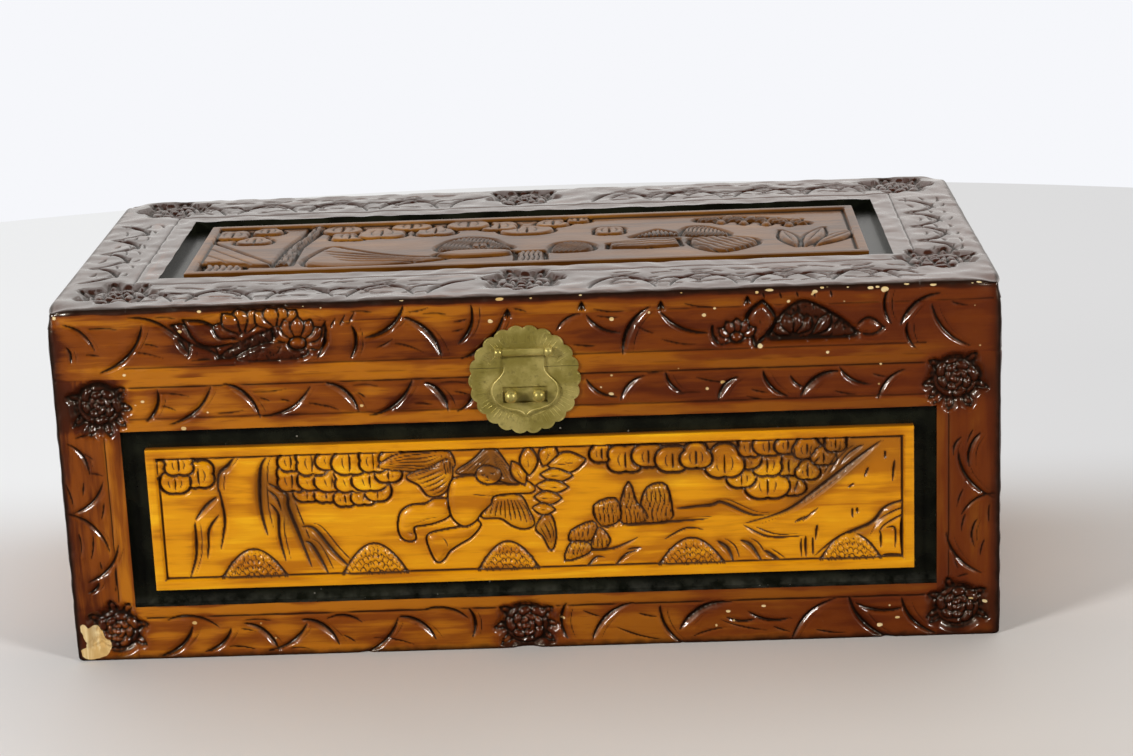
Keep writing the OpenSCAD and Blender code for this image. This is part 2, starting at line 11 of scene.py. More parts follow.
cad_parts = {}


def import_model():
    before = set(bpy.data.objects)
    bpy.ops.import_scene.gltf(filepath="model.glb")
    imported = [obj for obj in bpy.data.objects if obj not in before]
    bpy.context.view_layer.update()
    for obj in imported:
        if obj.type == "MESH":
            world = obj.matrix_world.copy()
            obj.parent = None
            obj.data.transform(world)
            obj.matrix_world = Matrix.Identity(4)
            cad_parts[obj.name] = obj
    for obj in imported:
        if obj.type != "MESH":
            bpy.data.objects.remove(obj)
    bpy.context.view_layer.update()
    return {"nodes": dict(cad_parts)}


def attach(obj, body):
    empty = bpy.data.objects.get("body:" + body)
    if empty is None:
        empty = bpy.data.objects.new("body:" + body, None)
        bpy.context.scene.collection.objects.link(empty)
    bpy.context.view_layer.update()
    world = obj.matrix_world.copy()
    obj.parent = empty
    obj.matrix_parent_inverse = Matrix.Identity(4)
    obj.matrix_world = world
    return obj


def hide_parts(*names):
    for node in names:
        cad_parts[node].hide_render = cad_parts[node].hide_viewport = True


MM = 0.001

# The camera that fits the photo. Its lens is worked out from a focal length in pixels of the photo's width.
CAMERA_AT = (48.0, -1166.2, 433.8)
CAMERA_YAW = -1.64
CAMERA_PITCH = 16.38
CAMERA_ROLL = 2.35
SENSOR = 36
CAMERA_LENS = 2643.3 / 1133 * SENSOR


def linked(name, data):
    """A new object in the scene."""
    made = bpy.data.objects.new(name, data)
    bpy.context.scene.collection.objects.link(made)
    return made


def aimed(at, right, up, ahead):
    """How a camera or a lamp stands that looks ahead, with its right and upper side given."""
    turn = Matrix([[right[i], up[i], -ahead[i]] for i in range(3)]).to_4x4()
    return Matrix.Translation(at) @ turn


def place_camera():
    """The camera at the photo's angle. It turns about the upright, tips down and leans."""
    yaw, pitch, roll = (math.radians(a) for a in (CAMERA_YAW, CAMERA_PITCH, CAMERA_ROLL))
    ahead = np.array([math.sin(yaw) * math.cos(pitch), math.cos(yaw) * math.cos(pitch), -math.sin(pitch)])
    level = np.array([math.cos(yaw), -math.sin(yaw), 0.0])
    down = np.cross(ahead, level)
    right = math.cos(roll) * level + math.sin(roll) * down
    up = math.sin(roll) * level - math.cos(roll) * down
    data = bpy.data.cameras.new("camera")
    data.sensor_width = SENSOR
    data.sensor_fit = "HORIZONTAL"
    data.lens = CAMERA_LENS
    camera = linked("camera", data)
    camera.matrix_world = aimed([c * MM for c in CAMERA_AT], right, up, ahead)
    bpy.context.scene.camera = camera


place_camera()
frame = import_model()
bpy.context.scene.view_settings.view_transform = "Standard"


def reach_of(name):
    """The lowest and the highest x, y and z of a piece of the frame, to a hundredth of a millimetre."""
    corners = np.array([tuple(corner) for corner in frame["nodes"][name].bound_box]) / MM
    return corners.min(0).round(2).tolist(), corners.max(0).round(2).tolist()


def opening_of(wall, axis):
    """Where the opening of a wall begins and ends, along its rails and then upwards."""
    head_low, head_high = reach_of(wall + "_head_rail")
    foot_high = reach_of(wall + "_foot_rail")[1]
    return head_low[axis], head_high[axis], foot_high[2], head_low[2]


def face_of(name, a, b):
    """Where a panel begins and ends along two axes."""
    low, high = reach_of(name)
    return low[a], high[a], low[b], high[b]


# The box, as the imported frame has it.
top_low, top_high = reach_of("lid_top_front_rail")
end_low, end_high = reach_of("lid_top_left_rail")
stile_low, stile_high = reach_of("front_left_stile")
panel_low, panel_high = reach_of("front_carved_panel")
HALF_W = top_high[0]
HALF_D = -top_low[1]
LID_UNDER = top_low[2]
TOP_Z = top_high[2]
SEAM_Z = stile_high[2]
WALL = stile_high[1] - stile_low[1]
FRONT_OPEN = opening_of("front", 0)
SIDE_OPEN = opening_of("left", 1)
TOP_OPEN = (end_high[0], -end_high[0], end_low[1], end_high[1])
FRONT_PANEL = face_of("front_carved_panel", 0, 2)
SIDE_PANEL = face_of("left_carved_panel", 1, 2)
TOP_PANEL = face_of("lid_carved_panel", 0, 1)
PANEL_SINK = round(panel_low[1] + HALF_D, 2)
PANEL_T = round(panel_high[1] - panel_low[1], 2)

# Roundings, rebates and carving, with the same sizes as in the part.
EDGE_R = 3.5
FOOT_R = 1.2
RECESS = 5.0
REBATE = 6.0
FIELD = 1.4
RIM_W = 3.8
ROSETTE_R = 12.5
CORNER_ROSETTE_R = 9.6
CARVE_PITCH = 34.0
MARGIN = 9.5

# How finely the carving is worked out.
STEP = 0.5


def blurred(field, sigma):
    """A field after a Gaussian blur, with sigma in steps of the grid."""
    reach = max(1, int(3 * sigma))
    kernel = np.exp(-0.5 * (np.arange(-reach, reach + 1) / sigma) ** 2)
    kernel /= kernel.sum()
    for axis in (0, 1):
        padded = np.pad(field, [(reach, reach) if a == axis else (0, 0) for a in (0, 1)], mode="edge")
        field = sum(
            weight * np.take(padded, range(k, k + field.shape[axis]), axis=axis)
            for k, weight in enumerate(kernel)
        )
    return field


def smooth_step(x):
    """Goes from 0 to 1 without a kink at either end."""
    x = np.clip(x, 0, 1)
    return x * x * (3 - 2 * x)


def curve_through(points, closed=False, per_span=6):
    """A smooth curve through the given points."""
    points = np.asarray(points, float)
    count = len(points)
    spans = count if closed else count - 1
    t = np.linspace(0, 1, per_span, endpoint=False)[:, None]
    out = []
    for i in range(spans):
        if closed:
            a, b, c, d = (points[(i + k) % count] for k in (-1, 0, 1, 2))
        else:
            a, b, c, d = (points[min(max(i + k, 0), count - 1)] for k in (-1, 0, 1, 2))
        out.append(b + 0.5 * t * (c - a + t * (2 * a - 5 * b + 4 * c - d + t * (3 * (b - c) + d - a))))
    if not closed:
        out.append(points[-1:])
    return np.concatenate(out)


def bow(x0, z0, xc, zc, x1, z1, parts=12):
    """A curve between two points that is drawn towards the one in between."""
    t = np.linspace(0, 1, parts + 1)[:, None]
    start, bend, end = np.array([x0, z0]), np.array([xc, zc]), np.array([x1, z1])
    return (1 - t) ** 2 * start + 2 * t * (1 - t) * bend + t * t * end


def ellipse(x, z, rx, rz, turn=0.0, parts=28):
    """The outline of an ellipse that may be turned."""
    t = np.linspace(0, 2 * math.pi, parts, endpoint=False)
    c, s = math.cos(turn), math.sin(turn)
    across, up = rx * np.cos(t), rz * np.sin(t)
    return np.stack([x + across * c - up * s, z + across * s + up * c], 1)


class Relief:
    """The carving of one flat face.

    level is how deep the surface lies, cut how deep tools went into it, chip where the lacquer is knocked
    off, and tone how light the wood is, from its stain and from painted shade.
    """

    def __init__(self, a0, a1, b0, b1, step=STEP):
        self.a0, self.b0, self.a1, self.b1, self.step = a0, b0, a1, b1, step
        self.na = round((a1 - a0) / step) + 1
        self.nb = round((b1 - b0) / step) + 1
        self.level, self.cut, self.chip, self.tone = np.zeros((4, self.nb, self.na))

    def grid(self):
        """The two coordinates of every point of the face."""
        a = self.a0 + self.step * np.arange(self.na)
        b = self.b0 + self.step * np.arange(self.nb)
        return np.meshgrid(a, b)

    def border(self):
        """How far each point lies from the nearest border of the face."""
        a, b = self.grid()
        return np.minimum(np.minimum(a - self.a0, self.a1 - a), np.minimum(b - self.b0, self.b1 - b))

    def window(self, points, pad):
        """The part of the grid around some points: its slices and its coordinates."""
        low, high = points.min(0) - pad, points.max(0) + pad
        i0 = max(0, int(math.floor((low[0] - self.a0) / self.step)))
        i1 = min(self.na, int(math.ceil((high[0] - self.a0) / self.step)) + 1)
        j0 = max(0, int(math.floor((low[1] - self.b0) / self.step)))
        j1 = min(self.nb, int(math.ceil((high[1] - self.b0) / self.step)) + 1)
        if i1 <= i0 or j1 <= j0:
            return None, None, None
        a = self.a0 + self.step * np.arange(i0, i1)
        b = self.b0 + self.step * np.arange(j0, j1)
        return (slice(j0, j1), slice(i0, i1)), *np.meshgrid(a, b)

    def gouge(self, path, width, depth, peak=0.5, skew=0.0, full=False):
        """A groove along a path. It tapers to both ends unless it is full, and is widest at share peak."""
        path = np.asarray(path, float)
        where, a, b = self.window(path, width)
        if where is None:
            return
        leg = np.diff(path, axis=0)
        length = np.maximum(np.hypot(leg[:, 0], leg[:, 1]), 1e-9)
        share = np.concatenate([[0], np.cumsum(length)]) / length.sum()
        da, db = a[..., None] - path[:-1, 0], b[..., None] - path[:-1, 1]
        t = np.clip((da * leg[:, 0] + db * leg[:, 1]) / length**2, 0, 1)
        away = np.hypot(da - t * leg[:, 0], db - t * leg[:, 1])
        side = away * np.sign(leg[:, 0] * db - leg[:, 1] * da)
        along = share[:-1] + t * np.diff(share)
        if full:
            size = np.ones_like(along)
        else:
            size = np.where(along < peak, along / peak, (1 - along) / (1 - peak))
            size = np.sin(0.5 * math.pi * np.clip(size, 0, 1)) ** 0.5
        half = np.maximum(0.5 * width * size, 0.05)
        x = np.clip(side / half, -1, 1)
        fall = np.where(x < skew, (x + 1) / (1 + skew), (1 - x) / (1 - skew))
        groove = depth * size * np.where(away < half, fall, 0)
        self.cut[where] = np.maximum(self.cut[where], groove.max(-1))

    def distance(self, outline, pad):
        """How far each point near a closed outline lies inside it; outside is negative."""
        outline = np.asarray(outline, float)
        where, a, b = self.window(outline, pad)
        if where is None:
            return None, None
        nearest = np.full(a.shape, 1e9)
        inside = np.zeros(a.shape, bool)
        for (pa, pb), (qa, qb) in zip(outline, np.roll(outline, -1, 0)):
            la, lb = qa - pa, qb - pb
            t = np.clip(((a - pa) * la + (b - pb) * lb) / max(la * la + lb * lb, 1e-9), 0, 1)
            nearest = np.minimum(nearest, np.hypot(a - pa - t * la, b - pb - t * lb))
            crosses = (pb > b) != (qb > b)
            inside ^= crosses & (a < pa + (b - pb) * la / (lb if abs(lb) > 1e-9 else 1e-9))
        return where, np.where(inside, nearest, -nearest)

    def form(self, outline, level, dome=0.3, slope=1.5, groove=(0.9, 1.2)):
        """A raised shape with a rounded edge, set off by a groove around it. Gives its mask for hatching."""
        where, deep = self.distance(outline, groove[0] + 1)
        mask = np.zeros_like(self.level)
        if where is None:
            return mask
        inside = deep > 0
        surface = level + dome * (1 - smooth_step(deep / slope)) ** 1.5
        self.level[where] = np.where(inside, surface, self.level[where])
        self.cut[where] = np.where(inside, 0, self.cut[where])
        ring = groove[1] * np.clip(1 - np.abs(deep + 0.35 * groove[0]) / groove[0], 0, 1) ** 0.8
        self.cut[where] = np.maximum(self.cut[where], ring)
        mask[where] = inside
        return mask

    def sink(self, outline, depth, slope=1.0):
        """A hollow with soft sides."""
        where, deep = self.distance(outline, 1)
        if where is not None:
            dip = depth * smooth_step(deep / slope + 0.2)
            self.level[where] = np.maximum(self.level[where], dip)

    def hatch(self, mask, angle, gap, width, depth, bend=0.0):
        """Fine tool lines over a mask, all at one angle or slightly bent."""
        rows, columns = np.nonzero(mask)
        if not len(rows):
            return
        low = np.array([columns.min(), rows.min()]) * self.step + (self.a0, self.b0)
        high = np.array([columns.max(), rows.max()]) * self.step + (self.a0, self.b0)
        where, a, b = self.window(np.array([low, high]), 0)
        c, s = math.cos(angle), math.sin(angle)
        across = -s * a + c * b + bend * np.sin((c * a + s * b) * 0.55)
        line = np.abs((across / gap) % 1 - 0.5) * gap
        groove = depth * np.clip(1 - line / (0.5 * width), 0, 1) * (mask[where] > 0)
        self.cut[where] = np.maximum(self.cut[where], groove)

    def stipple(self, outline, dice, count, size, depth):
        """Small punched holes that roughen the ground inside an outline."""
        outline = np.asarray(outline, float)
        where, deep = self.distance(outline, 0)
        if where is None:
            return
        low, high = outline.min(0), outline.max(0)
        for _ in range(count):
            spot = low + (high - low) * dice.random(2)
            i = int((spot[0] - self.a0) / self.step) - where[1].start
            j = int((spot[1] - self.b0) / self.step) - where[0].start
            if 0 <= j < deep.shape[0] and 0 <= i < deep.shape[1] and deep[j, i] > 0.3:
                r = size * (0.7 + 0.6 * dice.random())
                turn = 3.1 * dice.random()
                step = 0.5 * r * np.array([math.cos(turn), math.sin(turn)])
                self.gouge([spot - step, spot + step], r, depth * (0.6 + 0.4 * dice.random()), full=True)

    def finish(self, soft=0.75):
        """Works out the surface's depth, the painted shade in and around its cuts, and its worn and toned
        places.
        """
        sharp = self.level + self.cut
        self.depth = blurred(sharp, soft)
        # Painted shade in the cuts: where the surface lies deeper than around it, it is darker.
        fine = np.clip((sharp - blurred(sharp, 2.0) - 0.02) / 0.4, 0, 1)
        broad = np.clip((self.depth - blurred(self.depth, 5.0) - 0.05) / 1.5, 0, 1)
        self.shade = np.maximum(0.85 * fine, broad)
        # Painted shade: the wood is made darker around the cuts.
        shade_round_cuts = np.clip(blurred(self.cut, 6.0) / 1.1, 0, 1)
        self.tone = np.clip(0.5 + 0.5 * blurred(self.tone, 1.0) - 0.42 * shade_round_cuts, 0, 1)
        self.chip = np.clip(blurred(self.chip, 0.7), 0, 1)

    def sample(self, field, a, b):
        """The values of a field between the points of the grid."""
        u = np.clip((a - self.a0) / self.step, 0, self.na - 1.001)
        v = np.clip((b - self.b0) / self.step, 0, self.nb - 1.001)
        i, j = u.astype(int), v.astype(int)
        fu, fv = u - i, v - j
        low = field[j, i] * (1 - fu) + field[j, i + 1] * fu
        high = field[j + 1, i] * (1 - fu) + field[j + 1, i + 1] * fu
        return low * (1 - fv) + high * fv


# Carving of the front, in whole and half millimetres: x from the middle and z from the foot.
# A bowed cut has its two ends and its width, and bends towards the middle of the box.
LID_BOWS = [
    (-192, 150, -181, 140, 2.5), (-177, 132, -161, 149, 4), (-163, 152, -144, 140, 3.5),
    (-144, 148, -142, 136, 4.5), (-72, 146, -73, 134, 4), (-65, 143, -51, 154, 5.5),
    (-49, 148, -36, 133, 4.5), (-27, 139, -22, 153, 4), (-25, 133, -9, 150, 4),
    (15, 142, 25, 148, 2.5), (28, 148, 40, 141, 3), (43, 132, 53, 149, 4.5),
    (59, 149, 77, 140, 3.5), (153, 154, 154, 141, 3), (161, 140, 164, 130, 3),
    (159, 140, 173, 151, 4), (172, 147, 186, 131, 3), (-192, 141, -191, 135, 2.5),
]
LID_VEINS = [
    (-184, 138, -177, 137), (-182, 149, -168, 148), (-155, 153, -143, 152), (-160, 142, -152, 140),
    (-169, 139, -150, 135), (-140, 134, -126, 133), (-72, 153, -61, 152), (-55, 139, -41, 134),
    (-42, 151, -30, 150), (-4, 152, 3, 150), (20, 136, 32, 135), (-80, 149, -69, 147),
    (29, 151, 43, 149), (30, 148, 42, 147), (67, 152, 80, 150), (57, 137, 73, 134),
    (162, 150, 171, 149), (178, 149, 186, 147), (-30, 143, -22, 145), (-29, 147, -21, 149),
    (90, 146, 102, 144), (-62, 137, -54, 141), (-48, 152, -38, 154), (46, 144, 56, 139),
]
LID_NOTCHES = [(-6, 150), (25, 152), (58, 151), (94, 152)]
HEAD_BOWS = [
    (-161, 109, -156, 121, 4), (-150, 108, -134, 122, 3.5), (-126, 122, -114, 109, 4),
    (-110, 110, -92, 121, 3), (-83, 121, -72, 110, 4.5), (-65, 109, -49, 122, 4),
    (-42, 120, -34, 109, 4.5), (-29, 109, -21, 120, 3), (27, 120, 38, 113, 3), (41, 111, 50, 120, 3),
    (60, 122, 66, 114, 3), (82, 110, 89, 118, 4), (101, 121, 110, 111, 3.5), (117, 110, 131, 119, 5),
    (112, 119, 118, 114, 2.5), (133, 122, 144, 115, 3), (149, 108, 159, 119, 3),
]
HEAD_VEINS = [
    (-156, 120, -140, 118), (-155, 115, -147, 112), (-117, 120, -99, 121), (-113, 117, -107, 115),
    (-132, 111, -118, 112), (-93, 114, -82, 111), (-73, 121, -60, 120), (-71, 118, -67, 115),
    (-36, 121, -23, 120), (-31, 117, -21, 114), (-47, 112, -38, 111), (-87, 113, -78, 110),
    (51, 122, 59, 122), (71, 120, 87, 117), (92, 111, 104, 109), (94, 114, 103, 112),
    (129, 112, 140, 110), (145, 119, 154, 117), (-104, 116, -97, 114), (62, 112, 74, 113),
]
FOOT_BOWS = [
    (-162, 3, -150, 14, 4.5), (-158, 17, -139, 14, 3), (-143, 4, -133, 13, 4), (-125, 14, -113, 2, 4),
    (-115, 4, -100, 15, 3.5), (-100, 15, -87, 5, 4.5), (-89, 16, -76, 14, 2.5), (-76, 1, -61, 15, 3.5),
    (-58, 15, -45, 6, 4), (-47, 18, -30, 14, 3), (-29, 18, -28, 7, 3.5), (14, 19, 14, 5, 4),
    (26, 4, 42, 18, 4), (55, 17, 64, 1, 3), (64, 7, 83, 17, 5), (83, 12, 94, 11, 2.5),
    (93, 14, 108, 11, 3), (112, 1, 129, 17, 3), (137, 18, 154, 1, 5), (139, 17, 158, 15, 3.5),
    (159, 17, 171, 3, 4),
]
FOOT_VEINS = [
    (-134, 5, -121, 3), (-126, 17, -113, 16), (-71, 7, -52, 3), (-128, 13, -120, 11), (-107, 7, -103, 5),
    (-109, 3, -98, 3), (20, 17, 32, 13), (34, 9, 56, 2), (67, 3, 83, 7), (79, 11, 100, 5), (120, 5, 134, 3),
    (-84, 9, -78, 5), (-54, 13, -47, 11), (44, 15, 53, 13), (102, 7, 110, 4),
]
STILE_BOWS = [
    (-195, 98, -188, 86, 2.5), (-183, 81, -196, 69, 2.5), (-197, 66, -183, 51, 3), (-179, 52, -191, 38, 3),
    (-192, 32, -188, 36, 3), (-191, 101, -182, 100, 2), (183, 82, 196, 64, 3.5), (196, 63, 184, 55, 2.5),
    (191, 90, 187, 77, 3), (178, 46, 191, 30, 3), (190, 52, 189, 41, 2), (183, 89, 180, 82, 2),
]
STILE_VEINS = [
    (-188, 86, -180, 84), (-198, 82, -195, 70), (-194, 59, -194, 48), (-182, 73, -184, 64),
    (-190, 82, -191, 75), (-186, 46, -186, 36), (-180, 45, -181, 30), (184, 67, 181, 58), (180, 37, 182, 30),
    (186, 28, 180, 26), (185, 56, 183, 47), (195, 60, 195, 50), (188, 93, 185, 85), (-190, 95, -184, 91),
    (188, 74, 184, 68), (-188, 58, -190, 46), (193, 44, 191, 36),
]
# Rosettes: their middle and the angles of the leaves around them, in degrees.
FRONT_ROSETTES = [
    (-180.5, 115, (-143, -109, -74, -40, -6, 34, 160)),
    (180.5, 115, (-143, -103, -63, -17, 52, 143, 189, 229)),
    (-181.5, 13.5, (-149, -29, 11, 63, 97, 149)), (181.5, 13, (-149, -23, 34, 109, 155, 200)),
    (-4, 10.5, (-34, 0, 34, 143, 183, 218)),
]
TOP_ROSETTES = [(-174, -77), (0, -76.5), (177, -62), (-174, 84), (-5, 86), (174, 84)]

# The two flowers of the lid's front: their middles, and their outlines from there.
LEFT_FLOWER = (-108.7, 143)
RIGHT_FLOWER = (114.3, 141.5)
PEONY_GROUND = [(-36, 3), (-20, 12), (4, 13), (22, 11), (27, 1), (18, -9), (-4, -10), (-28, -9)]
PEONY_HOLLOW = [(-20, -9), (-12, -3), (-1, 2), (7, 3), (3, -3), (-8, -8)]
PEONY_LOW = [(-12, -10), (-2, -4), (9, -3), (18, -6), (14, -10)]
FLOWER_GROUND = [(-32, -2), (-22, 5), (-14, 12), (6, 10), (24, -1), (22, -8), (-6, -9), (-28, -9)]
FLOWER_MOUND = [(-12, -6), (-7, 3), (3, 9), (14, 4), (25, -6), (8, -7)]

# Bands of carving: from and to, upwards.
LID_BAND = (131, 151)
HEAD_BAND = (109, 122)
FOOT_BAND = (2, 18)

# Scribed lines of the front: their two ends.
FRONT_LINES = [(-168, z, 168, z) for z in (122.8, 108.9, 131.4, 19.2)]
FRONT_LINES += [(x, 26, x, 104) for x in (-179.4, 177.6)]
# Strips of lighter or darker stain: from and to along the face, from and to upwards, and how much lighter.
FRONT_TINTS = [
    (-198, 40, 149.8, 154.5, 0.6), (40, 150, 149.8, 154.5, 0.4), (-200, 60, 0, 24, 0.45),
    (-200, -172, 24, 104, 0.35), (-170, 172, 123, 127.6, 0.75), (-170, 172, 104, 108.6, 0.85),
    (-170, 172, 19.5, 24.1, 0.6), (-170, 60, 127.5, 131, 0.6), (60, 172, 127.5, 131, 0.3),
    (-179, -172, 24, 104, 0.4), (172, 177, 24, 104, 0.5), (-170, -60, 109, 149, 0.2),
    (-210, 210, 155.2, 162, -1.6), (-210, -196, -5, 162, -1.2), (196, 210, -5, 162, -1.2),
]
SIDE_TINTS = [
    (-120, 120, 155.2, 162, -1.6), (-120, -99.5, -5, 162, -1.0), (-170, 170, 123, 127.6, 0.6),
    (-170, 170, 19.5, 24, 0.5),
]

# The scene on the front panel. A clump of leaves has its middle and its size.
CLUMPS_LEFT = [(-156, 86, 4), (-141, 83, 6), (-151, 80, 5.5), (-149, 88, 5)]
CLUMPS_MIDDLE = [
    (-95, 74, 5), (-87, 73, 4.5), (-79, 71, 4.5), (-71, 72, 5), (-65, 73, 5), (-101, 80, 6), (-92, 80, 6),
    (-84, 79, 6), (-76, 79, 6), (-68, 79, 6), (-60, 81, 4.5), (-101, 88, 5), (-92, 87, 6), (-84, 88, 5),
    (-76, 87, 6.5), (-66, 87, 5.5), (-58, 88, 4),
]
CLUMPS_RIGHT = [
    (112, 69, 4), (101, 71, 7), (90, 74, 5), (110, 79, 5), (101, 80, 6), (92, 82, 5), (83, 81, 7),
    (118, 76, 4),
    (31, 87, 4.5), (41, 84, 6), (51, 85, 5.5), (61, 83, 6), (71, 84, 5.5), (94, 88, 5), (102, 88, 5),
    (110, 88, 4.5), (118, 86, 5), (125, 82, 4), (130, 88, 4),
]
# A tool cut has its width and the points that it passes.
TRUNK_CUTS = [
    (3, [(-125, 90), (-128, 86), (-132, 82), (-133, 74)]), (2.5, [(-133, 73), (-139, 68), (-144, 62)]),
    (2.5, [(-144, 62), (-144, 51), (-145, 44), (-148, 36)]),
    (2, [(-133, 79), (-131, 64), (-132, 56), (-134, 48)]),
    (2, [(-133, 65), (-138, 58), (-139, 50), (-140, 44)]),
    (3.5, [(-111, 90), (-114, 84), (-115, 67), (-113, 54)]),
    (3.5, [(-113, 79), (-104, 73), (-103, 66), (-99, 53), (-95, 39)]),
    (2.5, [(-112, 70), (-108, 64), (-108, 54), (-106, 42)]),
    (3, [(-100, 58), (-93, 57), (-85, 46), (-76, 36)]), (3, [(-100, 52), (-94, 49), (-88, 36)]),
    (1.4, [(-97, 84), (-104, 78), (-108, 70)]), (1.6, [(-113, 76), (-108, 71), (-106, 62)]),
]
HILL_CUTS = [
    (2, [(13, 38), (22, 43), (35, 44), (46, 49)]), (2.5, [(37, 54), (56, 55), (76, 56)]),
    (2.5, [(60, 61), (76, 62), (82, 63), (95, 57), (106, 58)]), (1.8, [(23, 36), (27, 40), (31, 40)]),
    (2, [(35, 36), (40, 41), (46, 43)]), (1.5, [(40, 43), (47, 44)]), (3, [(79, 46), (84, 42), (86, 36)]),
    (3, [(89, 46), (94, 43), (98, 36)]), (2.5, [(99, 41), (106, 36)]),
    (1.4, [(-121, 48), (-132, 37), (-142, 36)]),
    (1.3, [(20, 51), (30, 53), (37, 54)]), (1.3, [(56, 47), (66, 52), (74, 51)]),
]
ROOF_CUTS = [
    (3, [(150, 89), (126, 70), (109, 58), (90, 53)]), (1, [(148, 87), (126, 68), (109, 57), (95, 52)]),
    (1.4, [(90, 53), (101, 47), (117, 47)]), (1, [(95, 52), (104, 48), (114, 48)]),
    (1.8, [(117, 47), (117, 37)]),
    (1.2, [(115, 46), (115, 37)]), (1.2, [(120, 47), (120, 37)]), (1.4, [(122, 52), (121, 44)]),
    (1, [(112, 53), (117, 56)]), (1, [(113, 53), (120, 57)]), (1, [(115, 53), (123, 60)]),
    (1.2, [(144, 77), (142, 72)]),
    (1.2, [(137, 59), (137, 54)]), (1.2, [(139, 59), (139, 56)]), (1.1, [(135, 68), (138, 70)]),
    (1.4, [(155, 80), (154, 70)]), (1.2, [(151, 84), (151, 80)]),
    (3, [(160, 62), (151, 58), (145, 51), (131, 45), (120, 37)]), (1.2, [(160, 59), (150, 54), (144, 46)]),
    (1.2, [(160, 56), (150, 50), (148, 45)]), (1.4, [(150, 49), (155, 49), (155, 40)]),
    (1.4, [(149, 48), (149, 40)]),
    (1.8, [(158, 55), (158, 37)]), (1.8, [(149, 37), (158, 37)]),
]
BRANCH_CUTS = [
    (2, [(132, 88), (131, 83), (124, 73)]), (2, [(138, 87), (132, 81), (126, 73)]),
    (1.5, [(113, 88), (113, 79)]),
    (1.5, [(120, 88), (119, 81), (117, 75)]), (2, [(142, 87), (135, 82), (130, 75)]),
    (1.5, [(123, 82), (120, 77)]),
    (2, [(115, 74), (112, 65)]),
]
# Each mound has its middle, half its width and its height above the ground line.
MOUNDS = [(-120, 14, 13), (-68, 14, 14), (-10.5, 13, 13), (68, 14, 12), (136, 13, 12)]
GROUND = 35
CRAGS = [
    [(48, 55), (47, 62), (49, 69), (53, 72), (58, 71), (60, 61), (59, 56)],
    [(39, 55), (38, 62), (42, 73), (45, 64), (48, 61), (49, 56)], [(30, 54), (27, 63), (36, 66), (38, 57)],
    [(17, 47), (17, 52), (26, 56), (28, 51), (26, 48)], [(26, 44), (26, 48), (29, 53), (33, 48), (31, 44)],
    [(14, 39), (17, 47), (24, 46), (24, 42)],
]
# The flying attendant, a figure of old tales, in flowing scarves and with a sprig in hand.
PLUME_HIGH = [(-64, 84), (-56, 89), (-44, 90), (-35, 90), (-32, 86), (-33, 82), (-44, 81), (-56, 82)]
PLUME_LOW = [(-52, 79), (-42, 83), (-34, 86), (-33, 78), (-37, 71), (-43, 70), (-47, 75)]
HAIR = [(-31, 80), (-24, 85), (-16, 91), (-10, 84), (-5, 74), (-13, 76), (-22, 79)]
SKIRT = [(-16, 68.5), (-20, 62.5), (-20.5, 59.5), (-13, 59), (-8, 55.5), (-3, 54), (1, 56), (-1, 62),
         (-5, 69)]
LEG_UP = [(-34, 67.5), (-40.5, 68.5), (-45, 66.5), (-51, 66), (-55.5, 63), (-57, 57), (-56, 52), (-53, 50),
          (-50, 51), (-50.5, 56), (-46, 57), (-41, 58), (-35, 61)]
LEG_LOW = [(-24, 58), (-31, 55.5), (-37, 54.5), (-43.5, 53), (-45, 50), (-42.5, 42), (-40.5, 40),
           (-38, 41.5),
           (-35.5, 45), (-31, 48), (-26, 51), (-22, 56)]
BODY = [(-33.5, 76), (-29, 78), (-22, 78), (-15, 74.5), (-10, 74), (-4.5, 74), (-1, 75), (2, 72), (0, 70),
        (-8, 70), (-15.5, 69), (-17, 65.5), (-21, 62), (-24, 58), (-28, 56), (-31, 57), (-34, 61), (-35, 68)]
HEAD = [(-22, 81), (-18, 83), (-13, 81), (-12, 78), (-15, 75), (-19, 75), (-22, 77)]
TAIL_LEAF = [(2, 54), (6, 60), (9, 58), (10, 50), (8, 44), (5, 50)]
# Flowing lines: how many, and the first and the last of them.
STRANDS = [
    (5, [(-63, 83.5), (-52, 83), (-44, 82), (-39, 84), (-37, 87)],
     [(-62, 86), (-54, 88), (-46, 89), (-41, 89.5), (-38, 90)]),
    (6, [(-51, 79), (-43, 81.5), (-36, 84)], [(-43, 70.5), (-38, 72), (-34, 76)]),
    (3, [(-37, 89), (-36, 84), (-35, 78)], [(-33.5, 89), (-33.5, 84), (-33.5, 79)]),
    (4, [(-17, 90), (-23, 85.5), (-30, 80.5)], [(-16, 87), (-20, 83), (-23, 79)]),
    (5, [(-16, 90), (-11, 84), (-5.5, 75.5)], [(-15, 86), (-13, 81), (-12, 76)]),
    (10, [(-15.5, 68.5), (-18.5, 64), (-20, 60)], [(-5, 68.5), (-1.5, 62), (0.5, 56)]),
    (3, [(3, 56), (6, 50), (8, 45)], [(7, 59), (9, 53), (9, 47)]),
]
FACE_LINES = [
    [(-20.5, 79.5), (-19.5, 79), (-18.5, 79.5)], [(-16.5, 80), (-15.5, 79.5), (-14.5, 80)],
    [(-17.5, 79), (-18, 78), (-17, 77.5)], [(-19, 77), (-17.5, 76.5), (-16.5, 77)],
]
# Leaves of the sprig: foot, tip and half width.
SPRIG = [
    (-2, 74, -7, 84, 3), (0, 78, 0, 91, 3.5), (6, 82, 11, 91, 4), (8, 82, 24, 84, 4.5), (5, 78, 18, 77, 3),
    (3, 73, 16, 72, 3), (2, 68, 13, 67, 3), (1, 63, 10, 62, 2.5),
]
FOLD_CUTS = [
    (1.3, [(-15, 69.5), (-20, 70), (-26, 71)]), (1.3, [(-38, 61), (-45, 60), (-50, 58)]),
    (1.3, [(-40, 53), (-37, 50), (-36, 46)]), (1.3, [(-54, 55), (-50, 53), (-47, 53)]),
]

